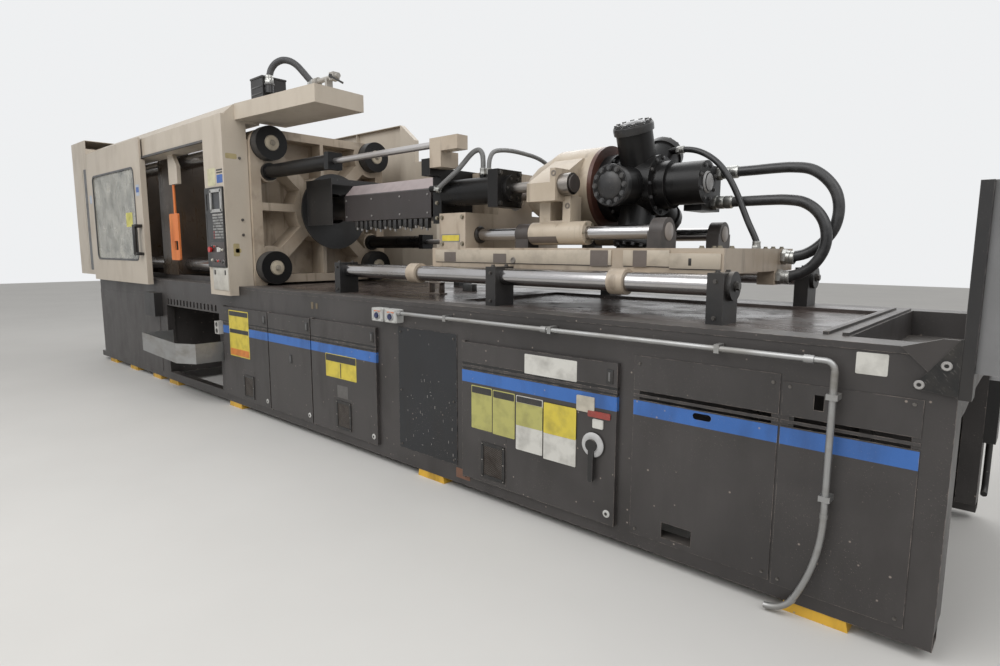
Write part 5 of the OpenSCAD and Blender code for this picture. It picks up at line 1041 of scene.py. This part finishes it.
def makeBolts():
    rows = []
    for y in pedestals["sides"]:
        out = -1 if y < axis["y"] else 1
        for low, high in pedestals["spans"]:
            x = (low + high) / 2
            rows.append(([(x, y + shift, pedestals["top"]) for shift in (-0.065, 0.065)], upward, 0.012))
            rows.append(([(x, y + out * 0.09, z) for z in (1.27, 1.45)], (0, out, 0), 0.009))
        rows.append(([(-0.933, y, 1.425)], alongX, 0.02))
    boltPiece("pedestalBolts", "base", rows, (0.1, 0.095, 0.09))
    z = cylinderLine["z"]
    rows = [([(-2.6, y + across, z + rise) for across in (-0.1, 0.1) for rise in (-0.1, 0.1)], alongX, 0.014)
            for y in cylinderLine["sides"]]
    rows += [(ringOf((-2.56, y, z), 0.07, 6, alongX), alongX, 0.008) for y in cylinderLine["sides"]]
    boltPiece("cylinderBolts", "carriage", rows, (0.09, 0.088, 0.085))
    rows = [(ringOf((-1.985, y, guideLine["z"]), 0.063, 6, alongX), alongX, 0.007) for y in guideLine["sides"]]
    boltPiece("housingBolts", "drive", rows, (0.4, 0.36, 0.28))
    rows = [([(x, 0.38, z) for x in (-3.17, -2.96) for z in (1.64, 1.83)], toOperator, 0.013),
            ([(x, y, 1.61) for x in (-1.2, -1.1) for y in (0.44, 0.6, 1.26, 1.42)], upward, 0.012),
            ([(-3.245, 0.4, z) for z in (1.83, 1.94)], toOperator, 0.012)]
    boltPiece("carriageBolts", "carriage", rows, (0.3, 0.27, 0.21))
    rows = [([(-5.64, 0.064, z) for z in (1.73, 1.873, 2.45)], alongX, 0.011)]
    rows += [([(x, -0.004, z) for x in across for z in levels], toOperator, 0.006)
             for across, levels in (((-3.2, -2.66), (0.2, 0.6, 1.02)), ((-1.3, -0.65), (0.15, 1.03)),
                                    ((-0.58, -0.13), (0.14, 1.02)))]
    boltPiece("baseBolts", "base", rows, (0.16, 0.15, 0.14))


# Push-button boxes: the lid's frame, the red bar along the top and the ring about the button
buttonBoxes = {"spans": ((-3.454, -3.325), (-3.305, -3.17)), "front": -0.062, "low": 1.085, "high": 1.18,
               "button": 1.127}


def makeButtonTrim():
    shape = newShape()
    y, low, high = buttonBoxes["front"], buttonBoxes["low"], buttonBoxes["high"]
    for x0, x1 in buttonBoxes["spans"]:
        frameIn(shape, (x0 + 0.006, low + 0.005), (x1 - 0.006, high - 0.005), y + 0.001, 0.006, 0.012, 0.004,
                (0.5, 0.5, 0.48))
        plateIn(shape, (x0 + 0.03, high - 0.026), (x1 - 0.03, high - 0.012), y - 0.0025, y + 0.001,
                (0.6, 0.2, 0.1))
        turnedIn(shape, [(0.0225, 0.0), (0.032, 0.0), (0.032, 0.004), (0.027, 0.007), (0.0225, 0.007)],
                 ((x0 + x1) / 2, y, buttonBoxes["button"]), toOperator, (0.3, 0.3, 0.3), 28)
    newPiece("buttonBoxTrim", shape, fittingPlastic, "base")


# Small bracket stand and the dark block that are left on the deck
deckThings = {"foot": ((-3.6, 0.6, 1.236), (-3.44, 0.68, 1.248)), "uprights": (-3.585, -3.465),
              "shelf": ((-3.6, 0.615, 1.325), (-3.45, 0.665, 1.335)),
              "block": ((-3.65, 1.06, 1.236), (-3.53, 1.12, 1.3)), "brown": (0.16, 0.13, 0.11)}


def makeDeckThings():
    shape = newShape()
    brown = deckThings["brown"]
    boxIn(shape, *deckThings["foot"], brown, bevel=0.002)
    for x in deckThings["uprights"]:
        boxIn(shape, (x - 0.006, 0.61, 1.24), (x + 0.006, 0.67, 1.335), brown, bevel=0.002)
    boxIn(shape, *deckThings["shelf"], brown, bevel=0.002)
    boxIn(shape, *deckThings["block"], (0.03, 0.03, 0.03), bevel=0.004)
    newPiece("deckStand", shape, fittingPlastic, "base")


# Shroud trim: the terminals under its edge, and the screws in its side
coal = (0.025, 0.025, 0.026)
shroud = {"terminals": 15, "start": -4.72, "apart": 0.07, "drop": 0.012, "tin": (0.3, 0.29, 0.28),
          "screws": (-4.84, -4.45, -4.05, -3.69), "levels": (2.05, 1.9), "face": 0.7}


def makeShroudTrim():
    shape = newShape()
    tin, face = shroud["tin"], shroud["face"]
    for i in range(shroud["terminals"]):
        x, drop = shroud["start"] + shroud["apart"] * i, shroud["drop"] * (i % 3)
        boxIn(shape, (x, 0.705, 1.8 - drop), (x + 0.045, 0.745, 1.856), coal, bevel=0.004)
        x += 0.022
        rodIn(shape, (x, 0.72, 1.802 - drop), (x, 0.72, 1.778 - drop), 0.011, tin, 12, bevel=0.002)
    for x in shroud["screws"]:
        for z in shroud["levels"]:
            rodIn(shape, (x, face, z), (x, face - 0.0065, z), 0.008, tin, 10)
    newPiece("shroudTrim", shape, fittingPlastic, "carriage")


# Canopy box: its lid, two bands and the ring of the hose port
canopyLid = {"box": ((-5.464, 0.114, 3.128), (-5.234, 0.356, 3.146)), "bands": (2.99, 3.05),
             "port": (-5.208, 0.17, 3.06)}


def makeCanopyTrim():
    shape = newShape()
    boxIn(shape, *canopyLid["box"], coal, bevel=0.004)
    for z in canopyLid["bands"]:
        boxIn(shape, (-5.44, 0.116, z), (-5.26, 0.121, z + 0.012), (0.05, 0.05, 0.05), bevel=0.002)
    turnedIn(shape, [(0.03, 0.0), (0.044, 0.0), (0.044, 0.014), (0.03, 0.014)], canopyLid["port"], upward,
             (0.1, 0.1, 0.1), 28)
    newPiece("canopyTrim", shape, fittingPlastic, "base")


# Patch that is wrapped about a bar along x
def wrapIn(shape, x0, x1, y, z, radius, start, sweep, tint):
    band = newShape()
    spots = [(x0, radius), (x1, radius), (x1, radius + 0.0015), (x0, radius + 0.0015)]
    face = band.faces.new([band.verts.new(place(x, y - r * math.cos(start), z + r * math.sin(start)))
                           for x, r in spots])
    geom = [face, *face.edges, *face.verts]
    bmesh.ops.spin(band, geom=geom, axis=alongX, cent=place(x0, y, z), angle=sweep, steps=8)
    closeShape(band, tint)
    joinShape(shape, band)


# Sled side: raised plates with a painted shadow line under each, bare patches, a plug, a slot painted near-black
# as shade and the ends of its rods
sledSide = {"y": 0.38, "plates": [(-3.24, -1.72, 1.509, 1.598), (-1.64, -1.352, 1.509, 1.598),
                                  (-1.352, -1.065, 1.5, 1.582)],
            "patches": [(-3.14, -3.02, 1.512, 1.58), (-2.652, -2.534, 1.512, 1.572),
                        (-1.863, -1.74, 1.504, 1.597), (-1.575, -1.488, 1.504, 1.597)],
            "plug": (-2.473, 1.529), "slot": ((-1.241, 1.517), (-1.224, 1.556)), "rodEnds": (-2.93, -1.44)}
housingSide = {"band": (-2.42, -2.186), "sleeve": 0.0752, "plugs": [(-2.169, 0.4, 2.075), (-2.13, 0.5, 1.877)]}


def makeSledTrim():
    shape = newShape()
    y = sledSide["y"]
    cream, primer, dark = (0.46, 0.4, 0.32), (0.13, 0.108, 0.095), (0.02, 0.016, 0.013)
    for x0, x1, z0, z1 in sledSide["plates"]:
        plateIn(shape, (x0, z0), (x1, z1), y - 0.009, y + 0.001, cream, bevel=0.0015)
        # near-black strip along each plate's lower edge: painted shadow under the plate
        plateIn(shape, (x0, z0 - 0.005), (x1, z0 + 0.001), y - 0.001, y + 0.001, dark)
    for x0, x1, z0, z1 in sledSide["patches"]:
        plateIn(shape, (x0, z0), (x1, z1), y - 0.0105, y - 0.008, primer)
    x, z = sledSide["plug"]
    turnedIn(shape, [(0.0, 0.002), (0.011, 0.002), (0.013, 0.006), (0.019, 0.006), (0.022, 0.0)],
             (x, y - 0.009, z), toOperator, (0.2, 0.18, 0.16), 24)
    # near-black sheet for the slot: painted shade inside the opening
    plateIn(shape, *sledSide["slot"], y - 0.0105, y - 0.008, dark, bevel=0.002)
    seal, stop = sledSide["rodEnds"]
    for rod in guideLine["sides"]:
        turnedIn(shape, [(0.0445, 0.0), (0.062, 0.0), (0.062, 0.012), (0.056, 0.018), (0.0445, 0.018)],
                 (seal, rod, guideLine["z"]), alongX, dark, 36)
        turnedIn(shape, [(0.0, 0.006), (0.045, 0.006), (0.052, 0.003), (0.052, -0.001)],
                 (stop, rod, guideLine["z"]), alongX, (0.26, 0.23, 0.21), 36)
    newPiece("sledTrim", shape, fittingPlastic, "carriage")
    shape = newShape()
    x0, x1 = housingSide["band"]
    wrapIn(shape, x0, x1, guideLine["sides"][0], guideLine["z"], housingSide["sleeve"], math.radians(-16),
           math.radians(38), primer)
    for spot in housingSide["plugs"]:
        turnedIn(shape, [(0.0, -0.001), (0.0095, -0.001), (0.0095, 0.004), (0.018, 0.004), (0.0195, 0.0)], spot,
                 toOperator, (0.19, 0.165, 0.14), 24)
    newPiece("housingTrim", shape, fittingPlastic, "drive")


# Adhesive that old stickers left on the column's side
residues = {"x": -5.64, "tint": (0.4, 0.33, 0.17),
            "spots": [((-0.071, 2.437), (0.038, 2.486)), ((-0.04, 1.525), (0.02, 1.648)),
                      ((-0.02, 1.56), (0.037, 1.6))]}


def makeResidues():
    shape = newShape()
    x = residues["x"]
    for low, high in residues["spots"]:
        boxIn(shape, (x - 0.0002, *low), (x + 0.0005, *high), residues["tint"], corners=0.012, along=0)
    newPiece("columnResidues", shape, labelFilm, "base")


# End plate in the console's corner, the gate's grip and the scuffs on the black cover
endPlate = {"corners": [(-0.144, 1.085), (0.0, 1.07), (0.0, 1.283), (-0.007, 1.283)], "front": -0.0205,
            "rear": -0.0165, "bolts": [(-0.042, 1.181), (-0.121, 1.1)]}
grip = {"x": -7.87, "low": 1.525, "high": 1.872, "front": -0.17, "face": -0.1}
scuffs = {"low": (-3.22, 0.24), "high": (-2.63, 1.03), "count": 46, "seed": 11, "face": -0.0042}


def makeEndPlate():
    shape = newShape()
    front, rear = endPlate["front"], endPlate["rear"]
    face = shape.faces.new([shape.verts.new(place(x, rear, z)) for x, z in endPlate["corners"]])
    pushed = bmesh.ops.extrude_face_region(shape, geom=[face])
    bmesh.ops.translate(shape, vec=(0, front - rear, 0), verts=newVerts(pushed))
    closeShape(shape, (0.008, 0.008, 0.008))
    for x, z in endPlate["bolts"]:
        turnedIn(shape, [(0.007, 0.002), (0.009, 0.006), (0.015, 0.006), (0.018, 0.0)], (x, front, z), toOperator,
                 (0.36, 0.35, 0.34), 24)
    newPiece("endPlate", shape, fittingPlastic, "base")


def makeGrip():
    shape = newShape()
    x, front = grip["x"], grip["front"]
    rodIn(shape, (x, front, grip["low"]), (x, front, grip["high"]), 0.024, (0.01, 0.01, 0.01), 20, bevel=0.004)
    for z in (grip["low"] + 0.01, grip["high"] - 0.01):
        boxIn(shape, (x - 0.045, front - 0.012, z - 0.017), (x + 0.06, grip["face"] + 0.0005, z + 0.017),
              (0.012, 0.012, 0.012), bevel=0.006)
    newPiece("gateGrip", shape, fittingPlastic, "gate")


def makeScuffs():
    shape = newShape()
    chance = random.Random(scuffs["seed"])
    (x0, z0), (x1, z1) = scuffs["low"], scuffs["high"]
    y = scuffs["face"]
    for i in range(scuffs["count"]):
        x = chance.uniform(x0, x1)
        z = chance.uniform(z0, z1) * (0.75 if i % 3 else 1.0) + 0.01
        wide, tall = chance.choice([(0.003, 0.012), (0.012, 0.003), (0.005, 0.005), (0.004, 0.02)])
        pale = chance.uniform(0.12, 0.36)
        plateIn(shape, (x, z), (x + wide, z + tall), y - 0.0008, y + 0.0005, (pale, pale * 0.96, pale * 0.92),
                corners=min(wide, tall) * 0.45)
    newPiece("coverScuffs", shape, labelFilm, "base")


# Near-black sheet painted as the shade inside the rear box's slot, and the sockets of the outlet box
rearSlot = {"low": (-9.91, 1.3), "high": (-9.8, 2.67), "face": -0.1}
outlet = {"middle": (-6.066, 0.805), "face": -0.06, "apart": 0.032, "radius": 0.018}


def makeDarkSpots():
    shape = newShape()
    # painted shade: a near-black sheet stands for the dark inside of the rear box's slot
    plateIn(shape, rearSlot["low"], rearSlot["high"], rearSlot["face"] - 0.001, rearSlot["face"] + 0.0005,
            (0.008, 0.008, 0.008), corners=0.01)
    x, z = outlet["middle"]
    radius = outlet["radius"]
    for side in (-1, 1):
        turnedIn(shape, [(0.0, 0.001), (radius, 0.001), (radius + 0.003, 0.0025), (radius + 0.006, 0.0)],
                 (x, outlet["face"], z + side * outlet["apart"]), toOperator, (0.03, 0.028, 0.026), 20)
    newPiece("darkSpots", shape, fittingPlastic, "base")


makeDarkSpots()
makeEndPlate()
makeGrip()
makeScuffs()
makeSledTrim()
makeResidues()
makeMotorTrim()
makeNutCovers()
makeBolts()
makeButtonTrim()
makeDeckThings()
makeShroudTrim()
makeCanopyTrim()
print("bolts and trim ready")
